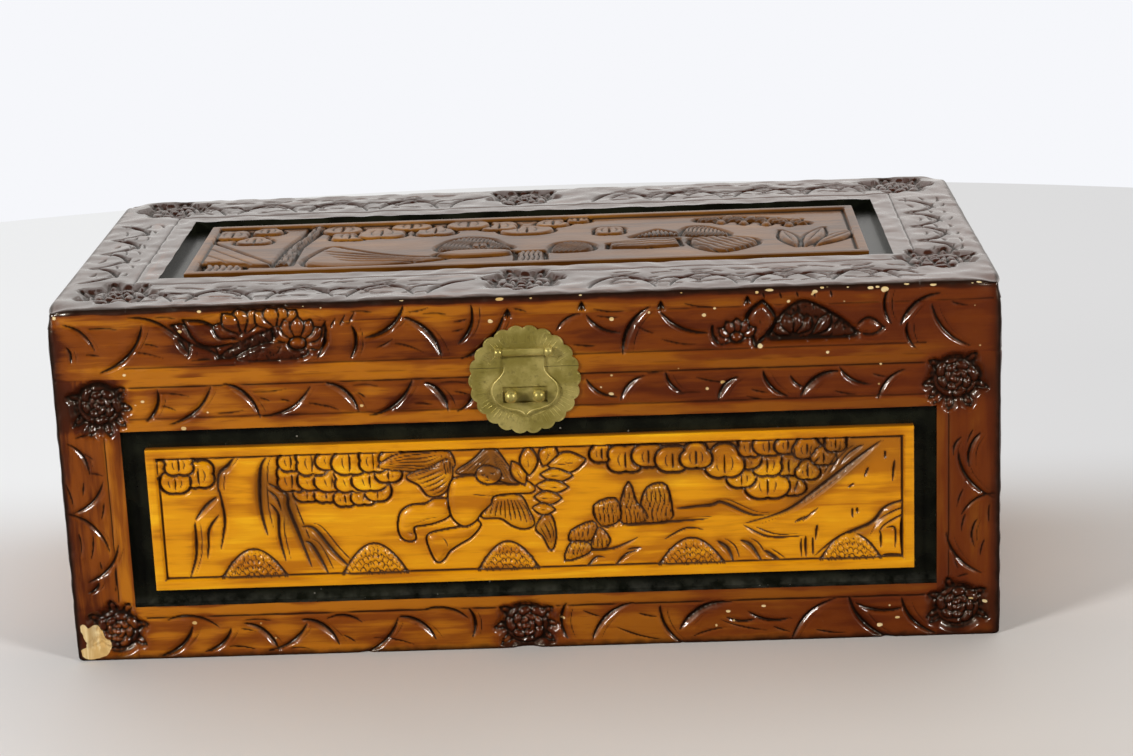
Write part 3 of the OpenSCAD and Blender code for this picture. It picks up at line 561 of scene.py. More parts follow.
# The scene on the lid, in shares of half the length and width of the field, as the part has it.
ROOF = [(-1.02, 0.5), (-0.76, -0.76), (-0.84, -0.72), (-0.94, -0.56), (-1.02, -0.62)]
PAVILION = [(-0.98, -0.6), (-0.86, -0.7), (-0.85, -1.04), (-0.98, -1.04)]
TRUNK = [(-0.77, -0.72), (-0.75, 0.05), (-0.715, 0.62), (-0.7, 1.04), (-0.65, 1.04), (-0.68, 0.6),
         (-0.715, 0.05),
         (-0.72, -0.72)]
BANK = [(-0.68, -0.66), (-0.62, 0), (-0.55, -0.12), (-0.46, -0.36), (-0.34, -0.55), (-0.24, -0.64),
        (-0.34, -0.78),
        (-0.48, -0.88), (-0.6, -0.86)]
BOULDER = [(-0.27, -0.3), (-0.25, 0.1), (-0.19, 0.26), (-0.12, 0.16), (-0.08, -0.1), (-0.06, -0.3)]
SITTER = [(-0.28, -0.56), (-0.24, -0.38), (-0.14, -0.34), (-0.05, -0.42), (-0.06, -0.58), (-0.18, -0.64)]
FALL = [(-0.03, -0.45), (0.05, -0.45), (0.06, -1.04), (-0.03, -1.04)]
SHRUB = [(0.07, -0.44), (0.09, -0.16), (0.15, -0.1), (0.2, -0.28), (0.19, -0.5), (0.1, -0.54)]
GABLE = [(0.32, 0.04), (0.4, 0.34), (0.49, 0.04)]
LOW_WALL = [(0.25, -0.24), (0.36, -0.12), (0.46, -0.1), (0.47, -0.42), (0.36, -0.48), (0.25, -0.44)]
CRAG = [(0.48, 0.04), (0.5, 0.42), (0.57, 0.34), (0.62, -0.02)]
LEDGE = [(0.5, -0.16), (0.58, -0.1), (0.68, -0.2), (0.7, -0.45), (0.6, -0.76), (0.52, -0.54)]
BOUGH = [(0.54, 0.66), (0.7, 0.6), (0.84, 0.38), (0.87, 0.46), (0.73, 0.76), (0.55, 0.82)]
LID_CLUMPS = [
    (-0.87, 0.44, 0.17), (-0.84, 0.86, 0.16), (-0.95, 0.74, 0.2), (-0.57, 0.5, 0.18), (-0.47, 0.62, 0.24),
    (-0.3, 0.64, 0.22), (-0.01, 0.52, 0.22), (-0.1, 0.76, 0.2), (0.25, 0.36, 0.17), (-0.6, 0.86, 0.22),
    (-0.38, 0.9, 0.2), (-0.2, 0.88, 0.22), (0.07, 0.84, 0.2), (0.15, 0.94, 0.14), (-0.15, -0.14, 0.09),
]
LID_BLADES = [(0.82, -0.66, 100, 0.8), (0.84, -0.66, 72, 0.9), (0.87, -0.66, 52, 0.9)]

# Heights at which edges get knocked.
KNOCKED_HEIGHTS = [155.5, 157, 148, 130, 123, 114, 118, 8, 16]
# Knocks along the edges that show the bare wood: place, size and how drawn out they are.
KNOCKS = [
    (-192, 11, 4.5, 1), (-190, 6, 5, 1.1), (-196, 15, 2, 0.8), (-194, 4, 3, 1.3), (122, 155, 0.7, 2),
    (125, 157, 0.9, 1),
    (145, 156, 0.9, 1.4), (151, 155, 1.4, 1.2), (98, 155.5, 0.7, 1.2), (103, 156.5, 0.6, 4),
    (171, 156.5, 0.6, 3),
    (190, 157.5, 0.7, 2), (-9, 156.5, 0.9, 2), (4, 156.5, 0.6, 1.2), (36, 113.5, 0.8, 1.5),
    (83, 117, 0.9, 1.3),
    (99, 132, 0.9, 1.2), (-196, 154, 0.9, 1), (-145, 104.5, 0.7, 2), (148, 6, 1, 1.2), (193, 15, 0.8, 1.4),
]


def blade(base, tip, half, bend=0.0, peak=0.5, parts=10):
    """The outline of a leaf or petal."""
    base, tip = np.asarray(base, float), np.asarray(tip, float)
    run = tip - base
    side = np.array([-run[1], run[0]]) / np.hypot(*run)
    t = np.linspace(0, 1, parts)[:, None]
    spine = base + t * run + 4 * bend * t * (1 - t) * side
    wide = half * np.sin(math.pi * t ** (math.log(0.5) / math.log(peak)))
    return np.concatenate([spine + wide * side, (spine - wide * side)[-2:0:-1]])


def away_from(x, z, angle, reach):
    """The point at some distance from (x, z) in the direction of an angle."""
    return np.array([x + reach * math.cos(angle), z + reach * math.sin(angle)])


def petal(face, base, tip, half, level, bend=0.0, gap=1.3, groove=(0.9, 1.4)):
    """A raised, hatched petal with a vein."""
    mask = face.form(blade(base, tip, half, bend, 0.6), level, 0.9, 0.8 * half, groove)
    run = np.asarray(tip, float) - np.asarray(base, float)
    face.hatch(mask, math.atan2(run[1], run[0]), gap, 0.55, 0.45, bend=0.25)
    face.gouge([base, np.asarray(base) + 0.8 * run], 0.8, 0.8, peak=0.3)


PETALS = 13
GOLDEN_ANGLE = 2.4


def rosette(face, x, z, r, leaves, turn):
    """A round flower of curled petals in a dark ring, over sharp pointed leaves."""
    for degrees in leaves:
        angle = math.radians(degrees)
        for lean in (-0.26, 0.26):
            start = away_from(x, z, angle + 1.5 * lean, 0.95 * r)
            stop = away_from(x, z, angle + 0.4 * lean, 1.5 * r)
            face.gouge([start, stop], 0.3 * r, 2.5, 0.3, skew=-2.3 * lean)
        root, tip = away_from(x, z, angle, 0.7 * r), away_from(x, z, angle, 1.42 * r)
        face.form(blade(root, tip, 0.2 * r, peak=0.45), 0.15, 1.5, 0.2 * r, groove=(0.8, 2.2))
        face.gouge([root, tip], 0.7, 0.7, peak=0.4)
    disc = face.form(ellipse(x, z, r, 0.94 * r), 1.3, 0.5, 1.5, groove=(2.2, 2.6))
    face.tone -= 0.8 * disc
    for k in range(PETALS):
        share = 1 - k / PETALS
        angle = turn + GOLDEN_ANGLE * k
        at = away_from(x, z, angle, 0.74 * r * share**0.8)
        curled = ellipse(*at, (0.17 + 0.18 * share) * r, (0.12 + 0.11 * share) * r, angle + 1.9)
        mask = face.form(curled, 0.1 + 0.9 * share, 0.45, 0.2 * r, (0.8, 2.0))
        face.tone += 0.6 * mask
        face.hatch(mask, angle + 0.3, 1.3, 0.8, 0.7, bend=0.3)


def fan(face, x, z, reach, first, last, count, half, level, gap=1.2):
    """Petals spread from one point, the outer ones first."""
    order = sorted(range(count), key=lambda k: -abs(k - (count - 1) / 2))
    for k in order:
        angle = first + (last - first) * k / max(count - 1, 1)
        petal(face, away_from(x, z, angle, 0.2 * reach), away_from(x, z, angle, reach), half, level, gap=gap)


def rounded_outline(x, z, points):
    """A smooth closed outline around (x, z)."""
    return curve_through(np.array(points) + (x, z), closed=True)


def peony_left(face, x, z, dice):
    """A full bloom seen from the side: petals, a punched hollow, a leaf and a smaller flower."""
    face.sink(rounded_outline(x, z, PEONY_GROUND), 1.0, 2.5)
    petal(face, (x - 20, z - 7), (x - 38, z + 6), 4.2, 0.3, bend=-2, gap=1.3, groove=(1.2, 2.0))
    petal(face, (x - 10, z - 2), (x - 33, z + 8), 4.5, 0.2, bend=2.5, gap=1.2, groove=(1.2, 2.0))
    fan(face, x - 8, z - 1, 14, 1.2, 2.7, 4, 3.4, 0.1)
    fan(face, x + 6, z + 1, 13, 0.9, 2.3, 4, 3.2, 0.1)
    hollow = rounded_outline(x, z, PEONY_HOLLOW)
    face.tone -= 0.9 * face.form(hollow, 2.1, 0.2, 1.5, (0.9, 1.2))
    face.stipple(hollow, dice, 90, 1.1, 1.6)
    low = rounded_outline(x, z, PEONY_LOW)
    face.tone -= 0.5 * face.form(low, 1.1, 0.6, 2.0, (0.9, 1.2))
    face.stipple(low, dice, 80, 0.9, 1.2)
    fan(face, x + 14, z - 5, 13, 0.2, 2.4, 6, 2.9, 0.1, gap=1.0)
    face.form(ellipse(x + 14, z - 3.5, 3.4, 2.6), 0.4, 1.0, 2, (0.9, 2.2))
    face.gouge(bow(x + 26, z + 7, x + 28.5, z - 2, x + 22, z - 10), 3.4, 2.5, skew=-0.4)
    face.gouge(bow(x - 37, z + 2, x - 34, z - 4, x - 31, z - 7), 4.4, 2.6)
    for k in range(4):
        face.gouge([(x + 24 + 4 * k, z + 2 + k), (x + 27 + 4 * k, z + 7 + k)], 1.4, 1.6, 0.4, skew=-0.5)


def peony_right(face, x, z, dice):
    """A round flower, one broad petal and a punched mound with a leaf."""
    face.sink(rounded_outline(x, z, FLOWER_GROUND), 0.8, 2.5)
    petal(face, (x + 22, z - 5), (x + 36, z - 3), 3.6, 0.2, bend=1.5, gap=1.6)
    punched = rounded_outline(x, z, FLOWER_MOUND)
    face.tone -= 0.9 * face.form(punched, 2.1, 0.3, 2.0, (1.4, 1.8))
    face.stipple(punched, dice, 130, 1.1, 1.6)
    fan(face, x - 1, z - 7, 11, 0.9, 2.5, 4, 2.6, 0.2, gap=1.0)
    petal(face, (x + 6, z - 6), (x + 14, z + 3), 2.2, 0.4, bend=-1, gap=1.2)
    petal(face, (x - 17, z - 9), (x - 14, z + 9), 5.6, 0.0, bend=-0.5, gap=2.0, groove=(1.5, 2.4))
    fan(face, x - 25, z - 7, 9.5, 0.6, 3.0, 6, 2.0, 0.1, gap=0.9)
    face.form(ellipse(x - 25, z - 5.5, 2.6, 2.0), 0.4, 0.9, 2, (0.9, 2.0))
    face.gouge(bow(x - 35, z + 1, x - 36, z - 5, x - 32, z - 9), 3.8, 2.5)
    for k in range(5):
        face.gouge([(x - 14 + 7 * k, z + 14), (x - 13 + 7 * k, z + 10.5)], 1.4, 1.2)


def bowed(x0, z0, x1, z1, share=0.14):
    """A path that bends towards the middle of the box."""
    run = np.array([x1 - x0, z1 - z0], float)
    side = np.array([-run[1], run[0]])
    if side[0] * (x0 + x1) > 0:
        side = -side
    bend = 0.5 * np.array([x0 + x1, z0 + z1]) + 2 * share * side
    return bow(x0, z0, *bend, x1, z1)


def bows(face, cuts):
    """Broad cuts with one steep side, that of the box's middle."""
    for x0, z0, x1, z1, width in cuts:
        steep = 0.55 if (x0 + x1 < 0) == (z1 > z0) else -0.55
        run = 0.12 * np.array([x1 - x0, z1 - z0])
        ends = (x0 - run[0], z0 - run[1], x1 + run[0], z1 + run[1])
        face.gouge(bowed(*ends), 0.85 * width, min(2.6, 0.9 + 0.4 * width), 0.45, skew=-steep)
        face.gouge(bowed(*ends) + (0.9 * width, 0), 1.1, 0.7, 0.5)


def veins(face, lines, width=1.4, depth=1.1):
    """Thin cuts with a slight bend."""
    for x0, z0, x1, z1 in lines:
        face.gouge(bowed(x0, z0, x1, z1, 0.05), width, depth, 0.4, skew=-0.3)


def notches(face, places, size=4.5):
    """Small dark triangles that point up."""
    for x, z in places:
        for step in (-0.3, 0, 0.3):
            face.gouge([(x + step * size, z - 0.5 * size), (x, z + 0.5 * size)], 0.4 * size, 2.4, 0.35)


def zigzag(face, first, last, pitch, low, high, dice, reach=0.82, slant=48.0, wide=3.2, upright=False):
    """Bowed cuts that rise and fall by turns across a band, with thin veins between them.

    reach is their length in shares of the band and slant their angle. An upright band runs along the
    face's second axis.
    """
    chord, middle = reach * (high - low), 0.5 * (low + high)
    c, s = math.cos(math.radians(slant)), math.sin(math.radians(slant))

    def put(points, *values, **settings):
        points = np.asarray(points, float)
        face.gouge(points[:, ::-1] if upright else points, *values, **settings)

    count = max(1, round(abs(last - first) / pitch))
    step = (last - first) / count
    for k in range(count):
        for turn in (0, 1):
            centre = np.array([first + step * (k + 0.5 * turn), middle])
            rise = -1 if turn else 1
            half = 0.5 * chord * np.array([c, rise * s])
            over = 0.19 * chord * np.array([-rise * s, c])
            path = bow(*(centre - half - over), *(centre + over), *(centre + half - over))
            put(path, wide * (0.85 + 0.3 * dice.random()), 2.3, 0.5, skew=0.5 * rise)
            for share in (0.24, 0.5, 0.76):
                up = low + (high - low) * (share + 0.12 * (dice.random() - 0.5))
                mid = centre[0] + 0.25 * step + 2 * (dice.random() - 0.5)
                run = abs(step) * (0.1 + 0.1 * dice.random())
                tilt = 3 * (dice.random() - 0.5)
                put(bow(mid - run, up - tilt, mid, up + 1.5, mid + run, up + tilt), 1.4, 1.0, 0.4)


def edge_line(face, a0, b0, a1, b1, width=1.2, depth=1.0):
    """A scribed line that keeps its width."""
    face.gouge([(a0, b0), (a1, b1)], width, depth, full=True)


def tint(face, a0, a1, b0, b1, amount):
    """Makes a strip of the wood lighter, or darker if the amount is below 0."""
    a, b = face.grid()
    along = smooth_step(np.minimum(a - a0, a1 - a) / 14 + 0.5)
    waver = 0.5 * np.sin(a / 7) + 0.3 * np.sin(a / 3.1)
    across = smooth_step((np.minimum(b - b0, b1 - b) + waver) / 2.2 + 0.5)
    face.tone += amount * along * across


def soften_opening(face, opening, reach=0.7, dip=0.3):
    """Takes the sharpness off the edges of an opening."""
    a0, a1, b0, b1 = opening
    a, b = face.grid()
    out = np.maximum(np.maximum(a0 - a, a - a1), np.maximum(b0 - b, b - b1))
    face.level = np.maximum(face.level, dip * np.clip(1 - np.abs(out) / reach, 0, 1) ** 2)


def seam_and_foot(face):
    """The edges at the seam and under the top board are broken, and the foot is rounded."""
    z = face.grid()[1]
    face.level = np.maximum(face.level, 0.55 * np.clip(1 - np.abs(z - SEAM_Z) / 0.9, 0, 1) ** 1.5)
    face.level = np.maximum(face.level, 0.2 * np.clip(1 - np.abs(z - LID_UNDER) / 0.6, 0, 1) ** 1.5)
    near = np.clip(FOOT_R - z, 0, FOOT_R)
    face.level = np.maximum(face.level, FOOT_R - np.sqrt(FOOT_R**2 - near**2))


def keep_edges(face):
    """The carving fades out at the outer edges, so that two faces meet without a gap."""
    a = face.grid()[0]
    fade = smooth_step(np.minimum(a - face.a0, face.a1 - a) / 2.0)
    face.cut *= fade
    face.level *= fade


def uneven(face, dice, height=0.16, reach=5.0):
    """The slight waves that scrapers leave in a carved surface."""
    waves = blurred(dice.standard_normal(face.level.shape), reach)
    face.level += height * np.clip(waves / waves.std(), -1.2, 1.2) + 1.2 * height


def knocks(face, dice, spots):
    """Places where the lacquer and a little of the wood are gone."""
    for x, z, size, drawn in spots:
        outline = ellipse(x, z, size * drawn, size, parts=9) + size * 0.35 * (dice.random((9, 2)) - 0.5)
        where, deep = face.distance(outline, 1)
        if where is None:
            continue
        face.chip[where] = np.maximum(face.chip[where], smooth_step(deep / 0.3 + 0.6))
        face.level[where] = np.maximum(face.level[where], 0.3 * smooth_step(deep / 0.6))


def small_knocks(dice, count):
    """Tiny chips, most of them along the lid's front edge and the seam, and more to the right."""
    spots = []
    for _ in range(count):
        x = HALF_W * (1 - 1.9 * dice.random() ** 1.7)
        z = dice.choice(KNOCKED_HEIGHTS)
        spots.append((x, z + 1.5 * dice.standard_normal(), 0.35 + 0.35 * dice.random(), 1 + dice.random()))
    return spots


def front_carving():
    """The front of the chest and of the lid, as one face."""
    dice = np.random.default_rng(11)
    face = Relief(-HALF_W, HALF_W, 0, TOP_Z)
    for line in FRONT_LINES:
        edge_line(face, *line)
    edge_line(face, -196, 149.4, 60, 149.4, 0.7, 0.5)
    edge_line(face, 60, 149.4, 196, 149.4, 0.8, 0.7)
    for strip in FRONT_TINTS:
        tint(face, *strip)
    for cuts in (LID_BOWS, HEAD_BOWS, FOOT_BOWS, STILE_BOWS):
        bows(face, cuts)
    for lines in (LID_VEINS, HEAD_VEINS, FOOT_VEINS, STILE_VEINS):
        veins(face, lines)
    notches(face, LID_NOTCHES)
    for turn, (x, z, leaves) in enumerate(FRONT_ROSETTES):
        rosette(face, x, z, CORNER_ROSETTE_R, leaves, 0.2 * turn)
    peony_left(face, *LEFT_FLOWER, dice)
    peony_right(face, *RIGHT_FLOWER, dice)
    uneven(face, dice)
    soften_opening(face, FRONT_OPEN)
    keep_edges(face)
    seam_and_foot(face)
    knocks(face, dice, KNOCKS + small_knocks(dice, 55))
    face.finish()
    return face


def side_carving(seed):
    """The left or the right of the chest and of the lid, as one face."""
    dice = np.random.default_rng(seed)
    face = Relief(-HALF_D, HALF_D, 0, TOP_Z)
    for z in (122.8, 108.9, 131.4, 19.2, 149.4):
        edge_line(face, -74, z, 74, z)
    for y in (-82.5, 82.5):
        edge_line(face, y, 26, y, 104)
    for strip in SIDE_TINTS:
        tint(face, *strip)
    zigzag(face, -92, 92, 32, *LID_BAND, dice, reach=1.0, slant=42, wide=4.2)
    zigzag(face, -68, 68, 30, *HEAD_BAND, dice, reach=1.2, slant=36, wide=3.6)
    zigzag(face, -68, 68, 34, *FOOT_BAND, dice, reach=1.1, slant=36, wide=4)
    for sign in (-1, 1):
        zigzag(face, 32, 100, 36, sign * 92.5 - 7, sign * 92.5 + 7, dice, 1.2, 36, 3.4, upright=True)
        rosette(face, sign * 84.5, 115, CORNER_ROSETTE_R, (-143, -97, -51, 0, 160), 0.3)
        rosette(face, sign * 84.5, 13.4, CORNER_ROSETTE_R, (97, 51, 6, -34, 149), 0.3)
    uneven(face, dice)
    soften_opening(face, SIDE_OPEN)
    keep_edges(face)
    seam_and_foot(face)
    edges = [(92 * (2 * dice.random() - 1), dice.choice([156, 124, 4]), 0.6, 1.5) for _ in range(14)]
    knocks(face, dice, edges)
    face.finish()
    return face


def top_carving():
    """The four rails of the lid's top."""
    dice = np.random.default_rng(31)
    face = Relief(-HALF_W, HALF_W, -HALF_D, HALF_D)
    x0, x1, y0, y1 = TOP_OPEN
    for y in (y0 - MARGIN, y1 + MARGIN):
        edge_line(face, x0 - MARGIN, y, x1 + MARGIN, y)
    for x in (x0 - MARGIN, x1 + MARGIN):
        edge_line(face, x, y0 - MARGIN, x, y1 + MARGIN)
    low, high = EDGE_R - HALF_D, y0 - MARGIN
    first = ROSETTE_R + 0.6 * (high - low)
    for sign in (-1, 1):
        last = sign * (first + 4 * CARVE_PITCH)
        zigzag(face, sign * first, last, CARVE_PITCH, low, high, dice)
        zigzag(face, sign * first, last, CARVE_PITCH, -high, -low, dice)
        for band in ((low, high), (-high, -low)):
            zigzag(face, sign * (first + 9), last, 0.5 * CARVE_PITCH, *band, dice, 0.5, 30, 1.6)
        inner, outer = sorted((sign * (HALF_W - 4), sign * (x1 + MARGIN + 1)))
        zigzag(face, -52, 56, 24, inner, outer, dice, 0.95, 40, 2.6, upright=True)
    for k, (x, y) in enumerate(TOP_ROSETTES):
        rosette(face, x, y, ROSETTE_R, range(10 * k, 360 + 10 * k, 52), 0.2 + 0.3 * k)
    uneven(face, dice, 0.22, 6.0)
    # Painted shade: the whole top is made darker.
    face.tone -= 0.7
    soften_opening(face, TOP_OPEN)
    fade = smooth_step((face.border() - 0.5) / 2.5)
    face.cut *= fade
    face.level *= fade
    face.finish()
    return face


def panel_ground(a0, a1, b0, b1, step=STEP):
    """A panel with its raised rim and sunk field."""
    face = Relief(a0, a1, b0, b1, step)
    edge = face.border()
    face.level = FIELD * smooth_step((edge - RIM_W) / 0.9)
    face.cut = 0.9 * np.clip(1 - np.abs(edge - RIM_W - 0.8) / 0.8, 0, 1)
    face.edge = edge
    return face


def panel_done(face, dice):
    """The rim stays whole over whatever the scene put there."""
    uneven(face, dice, 0.05, 7.0)
    keep = smooth_step((face.edge - RIM_W) / 0.6)
    rim = 0.35 * np.clip(1 - face.edge / 0.8, 0, 1) ** 2
    face.level = keep * face.level + (1 - keep) * rim
    face.cut = np.maximum(face.cut * keep, 0.9 * np.clip(1 - np.abs(face.edge - RIM_W - 0.9) / 0.8, 0, 1))
    face.finish(0.55)


def clump(face, x, z, r, dice):
    """A round bunch of leaves with a vein down its middle and finer ones beside it."""
    t = np.linspace(0, 2 * math.pi, 48, endpoint=False)
    lobes = (1.0, 1.5, 2.0)[dice.integers(3)]
    wide = r * (0.9 + 0.28 * np.abs(np.sin(lobes * (t + 0.5 * math.pi))) * (0.7 + 0.3 * dice.random()))
    stretch = 0.95 + 0.3 * dice.random()
    outline = np.stack([x + stretch * wide * np.cos(t), z + wide * np.sin(t)], 1)
    face.tone += 0.2 * face.form(outline, 0.4 + 0.5 * dice.random(), 0.5, 1.6, (1.1, 2.0))
    lean = 0.8 * (dice.random() - 0.5)
    face.gouge(bow(x - lean, z + 0.6 * r, x + lean, z, x - lean, z - 0.8 * r), 1.6, 1.7, 0.5)
    for side in (-1, 1):
        curl = bow(x + 0.3 * side * r, z + 0.5 * r, x + 0.7 * side * r, z, x + 0.3 * side * r, z - 0.6 * r)
        face.gouge(curl, 1.2, 0.8, 0.5)


def mound(face, x, half, height, ground, dice):
    """A low hill that is covered with small dark scales."""
    t = np.linspace(-1, 1, 15)
    rise = np.clip(np.cos(0.5 * math.pi * t), 0, 1)
    top = np.stack([x + half * t, ground + height * rise**0.9], 1)
    outline = np.concatenate([top, [(x + half, ground - 6), (x - half, ground - 6)]])
    mask = face.form(outline, 0.95, 0.5, 1.5, (1.0, 1.5))
    face.tone += 0.15 * mask * (face.grid()[1] > ground)
    middle = np.array([x, ground + 0.3])
    for row, share in enumerate((0.86, 0.64, 0.42, 0.2)):
        for angle in np.arange(0.12 + 0.1 * row, math.pi - 0.1, 2.3 / (share * half)):
            at = middle + share * np.array([half * math.cos(angle), height * math.sin(angle)])
            at += 0.5 * (dice.random(2) - 0.5)
            scale = bow(at[0] - 1.3, at[1] - 0.9, at[0], at[1] + 2.2, at[0] + 1.3, at[1] - 0.9, 6)
            face.gouge(scale, 1.1, 1.2, full=True)
            face.gouge([at + (0, 0.8), at + (0.6 * (dice.random() - 0.5), -1.2)], 1.0, 1.1)
    face.hatch(mask * (face.grid()[1] > ground + 0.62 * height), 1.6, 1.7, 1.0, 1.1, bend=0.4)


def crag(face, outline):
    """A rock with hatched sides."""
    mask = face.form(curve_through(outline, closed=True, per_span=3), 0.7, 0.8, 2.0, (0.9, 1.6))
    face.tone -= 0.1 * mask
    face.hatch(mask, 1.45, 1.9, 1.0, 1.2, bend=0.5)
    face.hatch(mask, 1.8, 3.1, 1.0, 1.0, bend=0.4)


def tool_cuts(face, cuts):
    """Cuts along drawn lines. Beside a broad one runs a fine one."""
    for width, points in cuts:
        path = curve_through(points)
        face.gouge(path, 1.45 * width, 1.0 + 0.5 * width, 0.4, skew=-0.3)
        if width > 2.4:
            face.gouge(path + (0.85 * width, 0.4 * width), 1.5, 1.2, 0.5)


def shape(face, points, level, dome, slope, groove):
    """A smooth raised shape. Gives its mask."""
    return face.form(curve_through(points, closed=True, per_span=5), level, dome, slope, groove)


def strands(face, first, last, count):
    """Fine cuts that fill the space between two drawn lines."""
    first, last = curve_through(first), curve_through(last)
    for share in np.linspace(0, 1, count):
        face.gouge((1 - share) * first + share * last, 1.15, 1.5, 0.5)


def flying_attendant(face):
    """The figure: scarves, skirt and hair with their strands, then legs, body, head, folds and sprig."""
    for points, darker in ((PLUME_HIGH, 0.1), (PLUME_LOW, 0.1), (SKIRT, 0.2), (HAIR, 0.6), (TAIL_LEAF, 0.3)):
        face.tone -= darker * shape(face, points, 0.7, 0.6, 2.0, (0.9, 1.5))
    for count, first, last in STRANDS:
        strands(face, first, last, count)
    for points in (LEG_LOW, LEG_UP, BODY):
        shape(face, points, 0.15, 1.15, 3.6, (0.75, 1.6))
    shape(face, HEAD, 0.15, 1.0, 3.0, (0.7, 1.4))
    for width, points in FOLD_CUTS:
        face.gouge(curve_through(points), width, 0.7, 0.5)
    for x0, z0, x1, z1, half in SPRIG:
        mask = face.form(blade((x0, z0), (x1, z1), half), 0.35, 0.9, 2.0, (0.9, 1.5))
        face.gouge([(x0, z0), (0.15 * x0 + 0.85 * x1, 0.15 * z0 + 0.85 * z1)], 0.9, 1.0, 0.3)
        face.hatch(mask, math.atan2(z1 - z0, x1 - x0) + 0.5, 1.7, 0.6, 0.5)
    for path in FACE_LINES:
        face.gouge(curve_through(path), 1.1, 1.5, 0.5)


def front_scene(face, dice):
    """The traditional landscape: leaves, an old tree, crags, mounds, a pavilion and a flying attendant."""
    x, z = face.grid()
    # Painted shade: the field is darker towards its top, most of all on the right.
    face.tone -= (0.1 + 0.35 * smooth_step(x / 60)) * smooth_step((z - 52) / 34) * (face.edge > RIM_W)
    tool_cuts(face, TRUNK_CUTS + HILL_CUTS + ROOF_CUTS)
    for x, z, r in CLUMPS_LEFT + CLUMPS_MIDDLE + CLUMPS_RIGHT:
        clump(face, x, z, r, dice)
    tool_cuts(face, BRANCH_CUTS)
    for x, half, height in MOUNDS:
        mound(face, x, half, height, GROUND, dice)
    for outline in CRAGS:
        crag(face, outline)
    flying_attendant(face)


def side_scene(face, dice, flip):
    """A smaller scene of the same kind: a tree, clumps of leaves, crags and mounds."""
    trunk = [(20, 90), (16, 78), (18, 64), (10, 50), (12, 36)]
    branches = [(4, trunk), (2.5, [(x + 4, z) for x, z in trunk]), (2.5, [(18, 64), (26, 54), (28, 44)]),
                (2, [(-60, 52), (-44, 56), (-30, 50), (-10, 54)])]
    tool_cuts(face, [(width, [(flip * x, z) for x, z in points]) for width, points in branches])
    for k, x in enumerate(range(-56, 60, 9)):
        clump(face, flip * x, 84 - 2 * (k % 3), 5.5, dice)
    for x, z in ((-50, 76), (-41, 74), (-32, 77), (34, 74), (43, 72), (52, 75)):
        clump(face, flip * x, z, 5.5, dice)
    for x, half, height in ((-40, 15, 13), (44, 14, 12), (0, 13, 10)):
        mound(face, flip * x, half, height, GROUND, dice)
    for shift in (-66, -76):
        crag(face, [(flip * (x + shift), z) for x, z in CRAGS[0]])


def top_scene(face, dice):
    """The lid's scene, in the places where the part has its main forms."""
    scale = np.array([TOP_PANEL[1] - RIM_W, TOP_PANEL[3] - RIM_W])

    def form(points, level=0.5, dome=0.7, slope=2.6, angle=None, gap=1.9, smooth=True):
        outline = np.array(points) * scale
        if smooth:
            outline = curve_through(outline, closed=True, per_span=4)
        mask = face.form(outline, level, dome, slope, (1.5, 2.4))
        if angle is not None:
            face.hatch(mask, angle, gap, 1.2, 1.5, bend=0.4)

    form(BANK, slope=5)
    for k in range(4):
        line = [(-0.64 + 0.02 * k, -0.2 - 0.14 * k), (-0.5, -0.42 - 0.1 * k), (-0.3, -0.66 - 0.03 * k)]
        face.gouge(curve_through(np.array(line) * scale), 2.2, 1.6, 0.4)
    form(ROOF, smooth=False)
    for k in range(1, 4):
        tile = np.array([(-1.02, 0.5 - 0.3 * k), (-0.78 - 0.05 * k, -0.72)]) * scale
        face.gouge(tile, 1.0, 0.9, full=True)
    form(PAVILION, 0.7, 0.5, 1.5, 1.57, 3.0, smooth=False)
    form(TRUNK, 0.3, 1.0, 3.0, 1.5, 2.6, smooth=False)
    form(BOULDER, angle=1.2)
    form(SITTER, 0.3, 1.0, 3.0)
    form(FALL, 0.7, 0.5, 1.5, 1.57, 2.2, smooth=False)
    form(SHRUB, angle=0.9)
    form(GABLE, angle=1.57, smooth=False)
    form(LOW_WALL, angle=0.05, gap=4, smooth=False)
    form(LEDGE, angle=2.2, gap=3.5)
    form(CRAG, angle=1.3)
    form(BOUGH, 0.4, 1.0, angle=0.4, gap=2.2)
    for u, v, r in LID_CLUMPS:
        clump(face, u * scale[0], v * scale[1], r * scale[1], dice)
    for u, v, degrees, length in LID_BLADES:
        foot = np.array([u, v]) * scale
        tip = away_from(*foot, math.radians(degrees), length * scale[1])
        face.form(blade(foot, tip, 0.12 * length * scale[1]), 0.4, 0.9, 2.0, (0.9, 1.6))
        face.gouge([foot, tip], 1.0, 1.0)
    for u in (0.6, 0.67, 0.74, 0.81):
        foot = np.array([u, 0.62 - 1.1 * (u - 0.7)]) * scale
        for side in (-1, 1):
            petal(face, foot, away_from(*foot, -0.4 + 1.1 * side, 9), 2.6, 0.4)


FACES = {"front": (front_carving(), 0, 2), "top": (top_carving(), 0, 1)}
FACES["left"] = (side_carving(21), 1, 2)
FACES["right"] = (side_carving(22), 1, 2)
CORE_LOW = np.array([EDGE_R - HALF_W, EDGE_R - HALF_D, -1e6])
CORE_HIGH = np.array([HALF_W - EDGE_R, HALF_D - EDGE_R, TOP_Z - EDGE_R])
CORNER_WEAR = 1.7
STAIN, BLACK, BARE, STAIN_TOP = range(4)
SIDES = (("left", -1), ("right", 1))


def rounded(points, depth):
    """Moves points of the sharp box onto its rounded, carved surface."""
    core = np.clip(points, CORE_LOW, CORE_HIGH)
    out = points - core
    gap = np.linalg.norm(np.abs(core) - np.abs(CORE_HIGH), axis=-1)
    depth = depth + CORNER_WEAR * np.exp(-(gap / 5) ** 2)
    return core + out / np.linalg.norm(out, axis=-1, keepdims=True) * (EDGE_R - depth[..., None])


